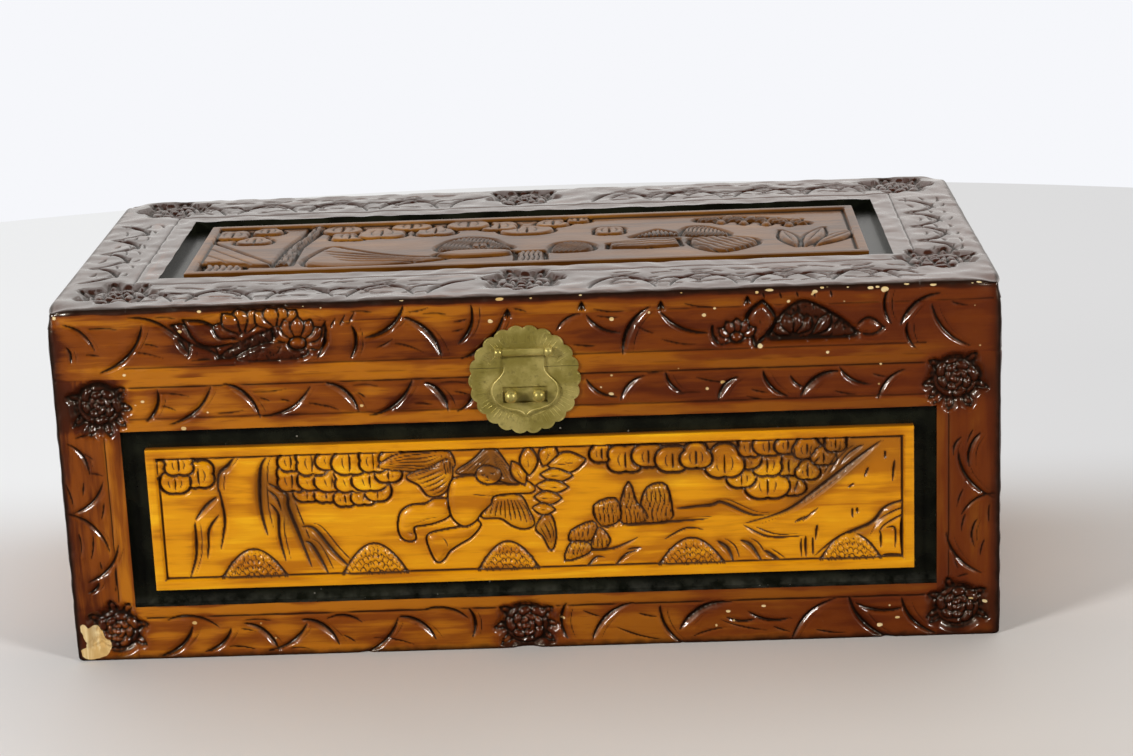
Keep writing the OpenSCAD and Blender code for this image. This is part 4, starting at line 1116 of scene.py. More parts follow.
def edge_nearness(points):
    """1 at the outer edges of the box and 0 well away from them."""
    x, y, z = np.abs(points[..., 0]), np.abs(points[..., 1]), points[..., 2]
    gaps = np.stack([HALF_W - x, HALF_D - y, TOP_Z - z, z], -1)
    second = np.sort(np.abs(gaps), axis=-1)[..., 1]
    return np.exp(-(second / 3.4) ** 1.5)


def closed_mesh(name, rings, attributes, slots, grain):
    """A closed mesh from rings of points, with the carving's values stored on its points."""
    stations, around = rings.shape[:2]
    flat = rings.reshape(-1, 3)
    i = np.arange(stations - 1)[:, None] * around
    j = np.arange(around)[None, :]
    k = (j + 1) % around
    quads = np.stack([i + j, i + k, i + around + k, i + around + j], -1).reshape(-1, 4)
    first = np.arange(around)[::-1]
    last = np.arange(around) + (stations - 1) * around
    corner = flat[quads]
    volume = np.einsum("ij,ij->i", corner[:, 0], np.cross(corner[:, 1], corner[:, 2])).sum()
    volume += np.einsum("ij,ij->i", corner[:, 0], np.cross(corner[:, 2], corner[:, 3])).sum()
    caps = [first, last]
    for cap in caps:
        fan_corner = flat[cap]
        centre = fan_corner.mean(0)
        volume += np.einsum("ij,ij->i", np.broadcast_to(centre, fan_corner.shape),
                            np.cross(fan_corner, np.roll(fan_corner, -1, 0))).sum()
    if volume < 0:
        quads = quads[:, ::-1]
        caps = [cap[::-1] for cap in caps]
    loops = np.concatenate([quads.ravel(), *caps])
    starts = np.concatenate([np.arange(len(quads)) * 4, [len(quads) * 4, len(quads) * 4 + around]])
    totals = np.concatenate([np.full(len(quads), 4), [around, around]])
    mesh = bpy.data.meshes.new(name)
    mesh.vertices.add(len(flat))
    mesh.vertices.foreach_set("co", (flat * MM).astype(np.float32).ravel())
    mesh.loops.add(len(loops))
    mesh.loops.foreach_set("vertex_index", loops.astype(np.int32))
    mesh.polygons.add(len(totals))
    mesh.polygons.foreach_set("loop_start", starts.astype(np.int32))
    mesh.polygons.foreach_set("loop_total", totals.astype(np.int32))
    mesh.update(calc_edges=True)
    for key, values in attributes.items():
        layer = mesh.attributes.new(key, "FLOAT", "POINT")
        layer.data.foreach_set("value", values.astype(np.float32).ravel())
    order = [grain] + [axis for axis in (0, 1, 2) if axis != grain]
    layer = mesh.attributes.new("grain", "FLOAT_VECTOR", "POINT")
    shift = np.array([sum(map(ord, name)) % 17 * 31.0, 0, 0])
    layer.data.foreach_set("vector", ((flat[:, order] + shift) * MM).astype(np.float32).ravel())
    slot_of = np.concatenate([np.tile(np.asarray(slots), stations - 1), [slots[0], slots[0]]])
    mesh.polygons.foreach_set("material_index", slot_of.astype(np.int32))
    mesh.polygons.foreach_set("use_smooth", np.ones(len(totals), bool))
    mesh.set_sharp_from_angle(angle=math.radians(62))
    return linked(name, mesh)


def spread(start, end):
    """Points from start to end, about a step apart."""
    count = max(2, round(np.hypot(*np.subtract(end, start)) / STEP) + 1)
    return np.linspace(start, end, count)


def ring_of(corners, faces, slots):
    """Points around a cross-section: many where a side lies on a carved face, else only its corner."""
    points, owner, slot = [], [], []
    for k, corner in enumerate(corners):
        run = spread(corner, corners[(k + 1) % len(corners)])[:-1] if faces[k] else [corner]
        points.extend(run)
        owner.extend([faces[k] or faces[k - 1]] * len(run))
        slot.extend([STAIN_TOP if faces[k] == "top" else slots[k]] * len(run))
    return np.array(points, float), owner, slot


def carved_board(node, body, axis, spans, faces, slots, grain, round_ends=False):
    """Sweeps a cross-section along an axis and carves the sides that lie on the outside of the box.

    spans lists (from, to, corners), and a corner has its places along the other two axes, in order. faces
    and slots say for each side which face of the box it lies on and which material it has.
    """
    others = [a for a in (0, 1, 2) if a != axis]
    rings = []
    for low, high, corners in spans:
        points, owner, slot = ring_of(corners, faces, slots)
        stops = np.linspace(low, high, max(2, round(abs(high - low) / STEP) + 1))
        block = np.zeros((len(stops), len(points), 3))
        block[..., others[0]], block[..., others[1]] = points[:, 0], points[:, 1]
        block[..., axis] = stops[:, None]
        rings.append(block)
    sharp = np.concatenate(rings)
    carved = np.ones(len(sharp))
    if round_ends:
        outer = [k for k, o in enumerate(owner) if o]
        first, last = [], []
        for inset in np.linspace(0, EDGE_R, 7)[1:]:
            for group, ring in ((first, sharp[0]), (last, sharp[-1])):
                moved = ring.copy()
                limit = np.array([HALF_W, HALF_D - inset, TOP_Z - inset])
                moved[outer] = np.clip(moved[outer], -limit, limit)
                group.append(moved)
        sharp = np.concatenate([np.array(first[::-1]), sharp, np.array(last)])
        carved = np.concatenate([np.zeros(len(first)), carved, np.zeros(len(last))])
    shape = sharp.shape[:2]
    final = sharp.copy()
    values = {key: np.zeros(shape) for key in ("shade", "chip", "edge", "tone")}
    owner = np.array([o or "" for o in owner])
    for key in set(owner) - {""}:
        picked = owner == key
        spot = sharp[:, picked]
        if key == "back":
            depth = np.zeros(spot.shape[:2])
        else:
            face, a, b = FACES[key]
            where = (spot[..., a], spot[..., b])
            depth = face.sample(face.depth, *where) * carved[:, None]
            for name in ("shade", "chip", "tone"):
                values[name][:, picked] = face.sample(getattr(face, name), *where) * carved[:, None]
        final[:, picked] = rounded(spot, np.clip(depth, 0, EDGE_R - 0.2))
        values["edge"][:, picked] = edge_nearness(spot)
    piece = closed_mesh(node + "_carved", final, values, slot, grain)
    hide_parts(node)
    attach(piece, body)
    return piece


def carved_panel(node, body, face, place, bottom, grain):
    """A panel with a carved face. place turns face coordinates and a depth into box coordinates."""
    a = face.a0 + face.step * np.arange(face.na)
    b = face.b0 + face.step * np.arange(face.nb)
    rings = np.zeros((face.na, face.nb + 2, 3))
    values = {key: np.zeros(rings.shape[:2]) for key in ("shade", "chip", "edge", "tone")}
    for i, value in enumerate(a):
        rings[i, :-2] = place(np.full(face.nb, value), b, face.depth[:, i])
        rings[i, -2:] = place(np.full(2, value), b[[-1, 0]], np.full(2, bottom))
        for name in ("shade", "chip", "tone"):
            values[name][i, :-2] = getattr(face, name)[:, i]
    piece = closed_mesh(node + "_scene", rings, values, [0] * (face.nb + 2), grain)
    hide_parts(node)
    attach(piece, body)
    return piece


def wall_boards(wall, along, way, opening, ends):
    """The stiles and rails of a wall that runs along x (0) or y (1) and faces way.

    ends lists for each stile its name, its side, where it ends and the face that lies around the corner.
    """
    out, inner, back = (way * ((HALF_D, HALF_W)[along] - depth) for depth in (0, WALL, RECESS))
    first, last, z0, z1 = opening
    low, high = z0 - REBATE, z1 + REBATE
    made = []
    for part, sign, outer, corner in ends:
        edge, end, step_in = sign * last, sign * outer, sign * (last + REBATE)
        middle = (inner + back) / 2
        plain = [(edge, out), (end, out), (end, inner), (edge, inner), (edge, middle), (edge, back)]
        cut = [(edge, out), (end, out), (end, inner), (step_in, inner), (step_in, back), (edge, back)]
        if along:
            plain = [point[::-1] for point in plain]
            cut = [point[::-1] for point in cut]
        spans = [(0, low, plain), (low, high, cut), (high, SEAM_Z, plain)]
        slots = [STAIN, STAIN if corner else BARE, BARE, BARE, BARE, BLACK]
        name = f"{wall}_{part}_stile"
        made.append(carved_board(name, "chest", 2, spans, [wall, corner, None, None, None, None], slots, 2))
    slots = [STAIN, STAIN, BARE, BARE, BARE, BLACK]
    for part, rim, edge, step_in in (("head", z1, SEAM_Z, high), ("foot", z0, 0, low)):
        corners = [(out, rim), (out, edge), (inner, edge), (inner, step_in), (back, step_in), (back, rim)]
        name = f"{wall}_{part}_rail"
        spans = [(first, last, corners)]
        made.append(carved_board(name, "chest", along, spans, [wall] + [None] * 5, slots, along))
    return made


def lid_boards():
    """The front and side boards of the lid and the four rails of its top."""
    inner = HALF_D - WALL
    corners = [(-HALF_W, -inner), (-HALF_W, -HALF_D), (HALF_W, -HALF_D), (HALF_W, -inner)]
    made = [carved_board("lid_front_board", "lid", 2, [(SEAM_Z, LID_UNDER, corners)],
                         ["left", "front", "right", None], [STAIN, STAIN, STAIN, BARE], 0)]
    for side, sign in SIDES:
        out, back = sign * HALF_W, sign * (HALF_W - WALL)
        corners = [(out, SEAM_Z), (out, LID_UNDER), (back, LID_UNDER), (back, SEAM_Z)]
        made.append(carved_board(f"lid_{side}_board", "lid", 1, [(-inner, inner, corners)],
                                 [side, None, None, None], [STAIN, BARE, BARE, BARE], 1))
    x1, y0, y1 = TOP_OPEN[1:]
    under = TOP_Z - RECESS
    step_in = x1 + REBATE
    slots = [STAIN, STAIN, BLACK, BARE, BARE, BARE]
    for part, sign in (("front", -1), ("back", 1)):
        out, edge, back = sign * HALF_D, sign * y1, sign * (y1 + REBATE)
        plain = [(out, LID_UNDER), (out, TOP_Z), (edge, TOP_Z), (edge, under),
                 (edge, (under + LID_UNDER) / 2), (edge, LID_UNDER)]
        cut = [(out, LID_UNDER), (out, TOP_Z), (edge, TOP_Z), (edge, under), (back, under),
               (back, LID_UNDER)]
        spans = [(-HALF_W, -step_in, plain), (-step_in, step_in, cut), (step_in, HALF_W, plain)]
        faces = [part, "top", None, None, None, None]
        name = f"lid_top_{part}_rail"
        made.append(carved_board(name, "lid", 0, spans, faces, slots, 0, round_ends=True))
    for side, sign in SIDES:
        out, edge, back = sign * HALF_W, sign * x1, sign * (x1 + REBATE)
        corners = [(out, LID_UNDER), (out, TOP_Z), (edge, TOP_Z), (edge, under), (back, under),
                   (back, LID_UNDER)]
        made.append(carved_board(f"lid_top_{side}_rail", "lid", 1, [(y0, y1, corners)],
                                 [side, "top", None, None, None, None], slots, 1))
    return made


def build_boards():
    """The boards of the three carved walls and of the lid."""
    front_ends = [(side, sign, HALF_W, side) for side, sign in SIDES]
    made = wall_boards("front", 0, -1, FRONT_OPEN, front_ends)
    side_ends = [(part, sign, HALF_D - WALL, None) for part, sign in (("front", -1), ("back", 1))]
    for side, sign in SIDES:
        made += wall_boards(side, 1, sign, SIDE_OPEN, side_ends)
    return made + lid_boards()


def build_panels():
    """The four carved panels with their scenes."""
    made = []
    dice = np.random.default_rng(5)
    face = panel_ground(*FRONT_PANEL, step=0.47)
    front_scene(face, dice)
    panel_done(face, dice)
    made.append(carved_panel("front_carved_panel", "chest", face,
                             lambda a, b, d: np.stack([a, PANEL_SINK - HALF_D + d, b], -1), PANEL_T, 0))
    for side, sign in SIDES:
        face = panel_ground(*SIDE_PANEL)
        side_scene(face, dice, sign)
        panel_done(face, dice)
        made.append(carved_panel(
            f"{side}_carved_panel", "chest", face,
            lambda a, b, d: np.stack([sign * (HALF_W - PANEL_SINK - d), a, b], -1), PANEL_T, 1))
    face = panel_ground(*TOP_PANEL, step=0.55)
    top_scene(face, dice)
    panel_done(face, dice)
    made.append(carved_panel("lid_carved_panel", "lid", face,
                             lambda a, b, d: np.stack([a, b, TOP_Z - PANEL_SINK - d], -1), PANEL_T, 0))
    return made


boards = build_boards()
panels = build_panels()


class Look:
    """A procedural material under construction."""

    def __init__(self, name):
        self.material = bpy.data.materials.new(name)
        self.material.use_nodes = True
        self.tree = self.material.node_tree
        self.surface = self.tree.nodes["Principled BSDF"]

    def add(self, kind, **settings):
        made = self.tree.nodes.new("ShaderNode" + kind)
        for key, value in settings.items():
            setattr(made, key, value)
        return made

    def plug(self, value, socket):
        if isinstance(value, bpy.types.NodeSocket):
            self.tree.links.new(value, socket)
        else:
            socket.default_value = value

    def stored(self, name, vector=False):
        """A value that the mesh stores on its points."""
        made = self.add("Attribute", attribute_name=name)
        return made.outputs["Vector" if vector else "Fac"]

    def place(self, grain=None):
        """Coordinates with the grain along their first axis, in metres."""
        if grain is None:
            return self.stored("grain", vector=True)
        coords = self.add("TexCoord").outputs["Object"]
        if grain == 0:
            return coords
        apart = self.add("SeparateXYZ")
        self.plug(coords, apart.inputs[0])
        joined = self.add("CombineXYZ")
        for k, axis in enumerate([grain] + [a for a in (0, 1, 2) if a != grain]):
            self.plug(apart.outputs[axis], joined.inputs[k])
        return joined.outputs[0]

    def stretched(self, coords, x, y, z):
        """Coordinates that are scaled along each axis."""
        made = self.add("VectorMath", operation="MULTIPLY")
        self.plug(coords, made.inputs[0])
        made.inputs[1].default_value = (x, y, z)
        return made.outputs[0]

    def noise(self, coords, scale=1.0, detail=3.0, rough=0.55, bend=0.0):
        made = self.add("TexNoise")
        self.plug(coords, made.inputs["Vector"])
        made.inputs["Scale"].default_value = scale
        made.inputs["Detail"].default_value = detail
        made.inputs["Roughness"].default_value = rough
        made.inputs["Distortion"].default_value = bend
        return made.outputs["Fac"]

    def cells(self, coords, scale):
        made = self.add("TexVoronoi")
        self.plug(coords, made.inputs["Vector"])
        made.inputs["Scale"].default_value = scale
        return made.outputs["Distance"]

    def ramp(self, value, low, high, start=0.0, end=1.0):
        """Goes smoothly from start to end while the value goes from low to high."""
        made = self.add("MapRange", interpolation_type="SMOOTHSTEP")
        self.plug(value, made.inputs["Value"])
        for key, number in (("From Min", low), ("From Max", high), ("To Min", start), ("To Max", end)):
            made.inputs[key].default_value = number
        return made.outputs["Result"]

    def maths(self, operation, a, b):
        made = self.add("Math", operation=operation)
        self.plug(a, made.inputs[0])
        self.plug(b, made.inputs[1])
        return made.outputs[0]

    def times(self, a, b):
        return self.maths("MULTIPLY", a, b)

    def plus(self, a, b):
        return self.maths("ADD", a, b)

    def mix(self, share, a, b):
        """A colour between a and b."""
        made = self.add("Mix", data_type="RGBA")
        self.plug(share, made.inputs["Factor"])
        for value, socket in ((a, made.inputs["A"]), (b, made.inputs["B"])):
            self.plug(value if isinstance(value, bpy.types.NodeSocket) else (*value, 1.0), socket)
        return made.outputs["Result"]

    def bump(self, height, strength, distance, below=None):
        made = self.add("Bump")
        self.plug(height, made.inputs["Height"])
        made.inputs["Strength"].default_value = strength
        made.inputs["Distance"].default_value = distance
        if below is not None:
            self.plug(below, made.inputs["Normal"])
        return made.outputs["Normal"]

    def done(self, colour, rough, **others):
        """Plugs in the colour, the roughness and what else the surface has, and gives the material."""
        self.plug(colour, self.surface.inputs["Base Color"])
        self.plug(rough, self.surface.inputs["Roughness"])
        for key, value in others.items():
            self.plug(value, self.surface.inputs[key.replace("_", " ")])
        return self.material


def seen_as(red, green, blue):
    """A colour given as it is seen, from 0 to 255."""
    shares = [value / 255 for value in (red, green, blue)]
    return tuple(((v + 0.055) / 1.055) ** 2.4 if v > 0.04 else v / 12.92 for v in shares)


def lacquered_wood(name, grain, dark, middle, light, toner_and_shade, carved=True, right_shade=None, gloss=1.0, coat=1.45):
    """Stained, lacquered wood. The painted shade of the carving's deep places, and its worn places, are
    stored on the mesh.
    """
    look = Look(name)
    coords = look.place(grain)
    streaks = look.noise(look.stretched(coords, 14, 210, 210), 1, 4, 0.6, 0.4)
    patches = look.noise(look.stretched(coords, 22, 60, 60), 1, 3, 0.5)
    pores = look.noise(look.stretched(coords, 90, 1500, 1500), 1, 2, 0.5)
    blend = look.plus(look.times(streaks, 0.5), look.times(patches, 0.5))
    if carved:
        tone = look.stored("tone")
        blend = look.plus(blend, look.times(look.maths("SUBTRACT", tone, 0.5), 0.42))
    colour = look.mix(look.ramp(blend, 0.36, 0.5), dark, middle)
    colour = look.mix(look.ramp(blend, 0.5, 0.66), colour, light)
    colour = look.mix(look.ramp(pores, 0.62, 0.75, 0, 0.3), colour, dark)
    # Painted shade: the colour goes darker towards the right end of the box.
    if right_shade is not None:
        apart = look.add("SeparateXYZ")
        look.plug(look.add("TexCoord").outputs["Object"], apart.inputs[0])
        colour = look.mix(look.ramp(apart.outputs[0], -0.12, 0.2, 0, 0.75), colour, right_shade)
    lacquer, rough = gloss, 0.3
    if carved:
        # Where the tone is low the wood goes towards the dark toner; the tone carries painted shade as well
        # as stain.
        colour = look.mix(look.ramp(tone, 0.36, 0.0, 0, 0.6), colour, toner_and_shade)
        ruffle = look.noise(coords, 260, 2, 0.5)
        wander = look.maths("SUBTRACT", ruffle, 0.5)
        edge = look.plus(look.stored("edge"), look.times(wander, 0.5))
        # The outer edges are darkened with toner.
        colour = look.mix(look.ramp(edge, 0.3, 0.95, 0, 0.85), colour, toner_and_shade)
        # Painted shade in the cuts.
        colour = look.mix(look.ramp(look.stored("shade"), 0.08, 0.8, 0, 0.97), colour, toner_and_shade)
        chip = look.stored("chip")
        wood = look.mix(look.ramp(streaks, 0.4, 0.6), seen_as(206, 168, 104), seen_as(232, 208, 156))
        colour = look.mix(look.ramp(chip, 0.35, 0.6), colour, wood)
        whole = look.ramp(chip, 0.35, 0.6, gloss, 0)
        lacquer = look.times(whole, look.ramp(edge, 0.3, 0.9, 1, 0.2))
        lacquer = look.times(lacquer, look.ramp(look.stored("shade"), 0.05, 0.5, 1, 0.25))
        rough = look.ramp(chip, 0.35, 0.6, 0.36, 0.8)
    skin = look.noise(coords, 420, 2, 0.5)
    normal = look.bump(skin, 0.16, 0.0006)
    normal = look.bump(streaks, 0.1, 0.0004, normal)
    clear = look.bump(look.noise(coords, 330, 2, 0.5), 0.07, 0.0005)
    return look.done(colour, rough, Normal=normal, Specular_IOR_Level=0.35,
                     Specular_Tint=(1.0, 0.82, 0.6, 1.0), Coat_Weight=lacquer, Coat_Roughness=0.08,
                     Coat_IOR=coat, Coat_Normal=clear)


# Heights in metres between which the pale layer fades, on the front's lower border and on the lid. It is
# partly dust and partly a painted sheen where the lower border catches the light.
DUST_AND_SHEEN_FADES = (0.0285, 0.0245)
DUST_AND_SHEEN_TOP = (0.12, 0.1)


def black_lacquer(name):
    """Black lacquer with specks of dust, and a thin pale layer on the lower border that is partly dust and
    partly painted sheen.
    """
    look = Look(name)
    coords = look.add("TexCoord").outputs["Object"]
    mottle = look.noise(coords, 60, 4, 0.6)
    colour = look.mix(look.ramp(mottle, 0.35, 0.7), seen_as(14, 15, 9), seen_as(32, 33, 22))
    specks = look.cells(coords, 190)
    few = look.noise(coords, 45, 2, 0.5)
    dust = look.times(look.ramp(specks, 0.1, 0.04), look.ramp(few, 0.55, 0.65))
    apart = look.add("SeparateXYZ")
    look.plug(coords, apart.inputs[0])
    height = apart.outputs[2]
    # Painted sheen, with some dust: a pale layer low on the border.
    dust_and_sheen = look.times(look.ramp(height, *DUST_AND_SHEEN_FADES), look.ramp(height, *DUST_AND_SHEEN_TOP))
    dust_and_sheen = look.times(dust_and_sheen, look.ramp(look.noise(coords, 120, 3, 0.6), 0.35, 0.75, 0, 0.09))
    dust = look.maths("MAXIMUM", look.times(dust, 0.75), dust_and_sheen)
    colour = look.mix(dust, colour, seen_as(176, 172, 158))
    normal = look.bump(look.noise(coords, 300, 2, 0.5), 0.12, 0.0005)
    return look.done(colour, look.ramp(dust, 0, 1, 0.25, 0.8), Normal=normal, Specular_IOR_Level=0.25,
                     Coat_Weight=0.08, Coat_Roughness=0.12)


def bare_wood(name, grain):
    """Sawn wood without lacquer."""
    look = Look(name)
    coords = look.place(grain)
    streaks = look.noise(look.stretched(coords, 10, 160, 160), 1, 5, 0.6, 0.5)
    rings = look.noise(look.stretched(coords, 4, 26, 26), 1, 2, 0.5, 1.2)
    pores = look.noise(look.stretched(coords, 120, 1600, 1600), 1, 2, 0.5)
    colour = look.mix(look.ramp(rings, 0.35, 0.65), seen_as(150, 104, 62), seen_as(196, 150, 98))
    colour = look.mix(look.ramp(streaks, 0.4, 0.7, 0, 0.6), colour, seen_as(124, 78, 44))
    colour = look.mix(look.ramp(pores, 0.6, 0.72, 0, 0.5), colour, seen_as(92, 56, 32))
    normal = look.bump(pores, 0.25, 0.0004)
    normal = look.bump(streaks, 0.2, 0.0006, normal)
    return look.done(colour, look.ramp(streaks, 0.3, 0.7, 0.5, 0.7), Normal=normal)


def brass(name, low, high, tarnish, rough=(0.3, 0.48)):
    """Dull brass in two tones, with spots of tarnish."""
    look = Look(name)
    coords = look.add("TexCoord").outputs["Object"]
    cloud = look.noise(coords, 90, 4, 0.6)
    fine = look.noise(look.stretched(coords, 900, 900, 2600), 1, 2, 0.5)
    spots = look.noise(coords, 420, 3, 0.6)
    colour = look.mix(look.ramp(cloud, 0.35, 0.65), low, high)
    colour = look.mix(look.ramp(spots, 0.55, 0.75, 0, 0.5), colour, tarnish)
    normal = look.bump(fine, 0.12, 0.0003)
    normal = look.bump(spots, 0.12, 0.0004, normal)
    return look.done(colour, look.ramp(cloud, 0.3, 0.7, *rough), Metallic=0.5, Normal=normal)


# Each set: dark, middle and light stain, and a dark toner that also paints the shade of the cuts.
STAIN_TONES = (seen_as(78, 26, 2), seen_as(130, 62, 3), seen_as(180, 106, 10), seen_as(20, 7, 3))
# A darker colour that paints shade towards the box's right end.
STAIN_RIGHT_SHADE = seen_as(98, 36, 3)
OCHRE_TONES = (seen_as(186, 110, 4), seen_as(226, 150, 6), seen_as(246, 182, 20), seen_as(62, 40, 28))
# A darker copy of the ochre for the lid's scene: painted shade on the top.
LID_SHADED_TONES = (seen_as(86, 46, 6), seen_as(116, 68, 8), seen_as(146, 92, 16), seen_as(20, 11, 5))
stain = lacquered_wood("stained_frame", None, *STAIN_TONES, right_shade=STAIN_RIGHT_SHADE)
stain_top = lacquered_wood("stained_top", None, *STAIN_TONES, right_shade=STAIN_RIGHT_SHADE, coat=1.8)
ochre = lacquered_wood("ochre_panel", None, *OCHRE_TONES, gloss=0.45)
ochre_lid = lacquered_wood("ochre_lid", None, *LID_SHADED_TONES, gloss=0.32, coat=1.8)
black = black_lacquer("black_border")
bare = bare_wood("bare_wood", None)
stain_cad = [lacquered_wood("stained_" + letter, axis, *STAIN_TONES, carved=False, right_shade=STAIN_RIGHT_SHADE)
             for axis, letter in enumerate("xyz")]
bare_cad = bare_wood("bare_board", 0)
old_brass = brass("aged_brass", seen_as(164, 148, 72), seen_as(200, 182, 106), seen_as(114, 102, 50))
# A paler brass that paints a highlight along the hasp's edge.
brass_painted_highlight = brass("brass_painted_highlight", seen_as(206, 188, 104), seen_as(232, 214, 136), seen_as(140, 126, 66))
hinge_brass = brass("hinge_brass", seen_as(110, 92, 52), seen_as(156, 132, 74), seen_as(70, 58, 36),
                    (0.35, 0.55))

for piece in boards:
    for material in (stain, black, bare, stain_top):
        piece.data.materials.append(material)
for piece in panels:
    piece.data.materials.append(ochre_lid if piece.name.startswith("lid") else ochre)

AGED = ("padlock_posts", "hasp_eyes", "hasp_pin", "hasp", "upper_lock_plate", "lower_lock_plate")
for name, piece in frame["nodes"].items():
    if "backing" in name:
        choice = black
    elif "hinge" in name:
        choice = hinge_brass
    elif name in AGED:
        choice = old_brass
    elif name == "floor_board":
        choice = bare_cad
    else:
        choice = stain_cad[2 if "stile" in name else 0]
    piece.data.materials.clear()
    piece.data.materials.append(choice)


plate_low, plate_high = reach_of("lower_lock_plate")
hasp_low, hasp_high = reach_of("hasp")
pin_low, pin_high = reach_of("hasp_pin")
PLATE_Z = round(SEAM_Z - 5.5, 2)
PLATE_FACE = plate_low[1]
SCALLOPS = 22
SCALLOP_R = 4.0
SCALLOP_RING = round(plate_high[0] - SCALLOP_R, 2)
HASP_SHEET = 0.9
HASP_AXIS_Z = round((pin_low[2] + pin_high[2]) / 2, 2)
HASP_FACE = round(hasp_high[1] - HASP_SHEET, 2)
HASP_WIDE = hasp_high[0]
HASP_DROP = round(HASP_AXIS_Z - hasp_low[2], 2)

NECK_Z = 6.8
WIDEST_Z = 17.5
HASP_BEND = 5.0
HASP_INSET = (0.95, 0.975)

# The chased lines: how far from the plate's middle they run, how wide they are and how far they stand out.
LINE_START = 16.6
LINE_ENDS = ((-0.085, 20.6), (0, 22), (0.085, 20.6))
RING_R = 16
RIM_INSET = 0.45
SEAM_CLEAR = 0.25
LINE_WIDE = 0.42
LINE_HIGH = 0.16
BORDER_WIDE = 0.55
BORDER_HIGH = 0.18


def bead(path, wide, high, face_y):
    """Points and quads of a low rounded ridge that follows a path of (x, z) on a plate."""
    path = np.asarray(path, float)
    ahead = np.gradient(path, axis=0)
    ahead /= np.hypot(ahead[:, 0], ahead[:, 1])[:, None]
    side = np.stack([-ahead[:, 1], ahead[:, 0]], 1)
    turns = np.linspace(0, math.pi, 6)
    taper = np.clip(np.minimum(np.arange(len(path)), np.arange(len(path))[::-1]) / 2 + 0.3, 0, 1)
    points = []
    for spot, out, size in zip(path, side, taper):
        for turn in turns:
            x, z = spot + 0.5 * wide * size * math.cos(turn) * out
            points.append((x, face_y + 0.05 - (high * size + 0.05) * math.sin(turn), z))
    around = len(turns)
    faces = []
    for k in range(len(path) - 1):
        for j in range(around):
            a, b = k * around + j, k * around + (j + 1) % around
            faces.append((a, b, b + around, a + around))
    last = (len(path) - 1) * around
    faces.append(tuple(range(around))[::-1])
    faces.append(tuple(last + j for j in range(around)))
    return points, faces


def beads(name, body, paths, wide, high, face_y, material):
    """One piece of beads that follow many paths."""
    points, faces = [], []
    for path in paths:
        new_points, new_faces = bead(path, wide, high, face_y)
        faces.extend(tuple(len(points) + k for k in face) for face in new_faces)
        points.extend(new_points)
    mesh = bpy.data.meshes.new(name)
    mesh.from_pydata(np.array(points) * MM, [], faces)
    mesh.polygons.foreach_set("use_smooth", [True] * len(faces))
    mesh.set_sharp_from_angle(angle=math.radians(50))
    mesh.materials.append(material)
    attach(linked(name, mesh), body)


def plate_chasing():
    """Three chased lines in each scallop and a bead along its edge, and a ring inside them."""
    paths = []
    for k in range(SCALLOPS):
        angle = 2 * math.pi * k / SCALLOPS
        for lean, end in LINE_ENDS:
            stops = np.linspace(LINE_START, end, 9)
            paths.append([away_from(0, PLATE_Z, angle + lean, r) for r in stops])
        centre = away_from(0, PLATE_Z, angle, SCALLOP_RING)
        turns = np.linspace(-0.95, 0.95, 11)
        paths.append([away_from(*centre, angle + t, SCALLOP_R - RIM_INSET) for t in turns])
    for first in np.arange(0.02, 2 * math.pi - 0.05, math.pi / 30):
        turns = np.linspace(first, first + math.pi / 36, 5)
        paths.append([away_from(0, PLATE_Z, t, RING_R) for t in turns])
    upper = [p for p in paths if min(z for _, z in p) > SEAM_Z + SEAM_CLEAR]
    lower = [p for p in paths if max(z for _, z in p) < SEAM_Z - SEAM_CLEAR]
    return upper, lower


def bezier(a, b, c, d, parts=10):
    """A cubic curve from a to d."""
    t = np.linspace(0, 1, parts, endpoint=False)[:, None]
    a, b, c, d = (np.array(p, float) for p in (a, b, c, d))
    return (1 - t) ** 3 * a + 3 * t * (1 - t) ** 2 * b + 3 * t * t * (1 - t) * c + t**3 * d


def hasp_line():
    """A line just inside the hasp's outline."""
    neck, wide, chin, tip, bend = 8.6, HASP_WIDE, 25.9, HASP_DROP, HASP_BEND
    side = np.concatenate([
        bezier((neck, -NECK_Z), (neck, -NECK_Z - bend), (wide, bend - WIDEST_Z), (wide, -WIDEST_Z)),
        bezier((wide, -WIDEST_Z), (wide, -WIDEST_Z - bend), (wide - bend, 0.6 - chin), (bend, -chin)),
        bezier((bend, -chin), (2.4, -chin - 0.4), (1.2, 1.5 - tip), (0, -tip)),
    ])
    side = side * HASP_INSET + (0, HASP_AXIS_Z)
    return [side, side * (-1, 1)]


upper_lines, lower_lines = plate_chasing()
beads("upper_plate_chasing", "lid", upper_lines, LINE_WIDE, LINE_HIGH, PLATE_FACE, old_brass)
beads("lower_plate_chasing", "chest", lower_lines, LINE_WIDE, LINE_HIGH, PLATE_FACE, old_brass)
# The hasp's edge bead in paler brass: a painted highlight along its outline.
beads("hasp_border", "hasp", hasp_line(), BORDER_WIDE, BORDER_HIGH, HASP_FACE, brass_painted_highlight)


# The table and the lamps, in metres and watts. A lamp has its place, what it faces, its sides and its power.
TABLE_AT = (-0.03, -0.46)
TABLE_R = 1.3
LAMPS = {
    "left_softbox": ((-1.5, -1.35, 0.95), (0, 0, 0.08), (0.4, 0.4), 29),
    "right_softbox": ((1.55, -1.25, 0.9), (0, 0, 0.08), (0.35, 0.35), 20),
    "overhead": ((0.0, 0.5, 2.2), (0, 0.1, 0), (2.0, 1.4), 8),
}


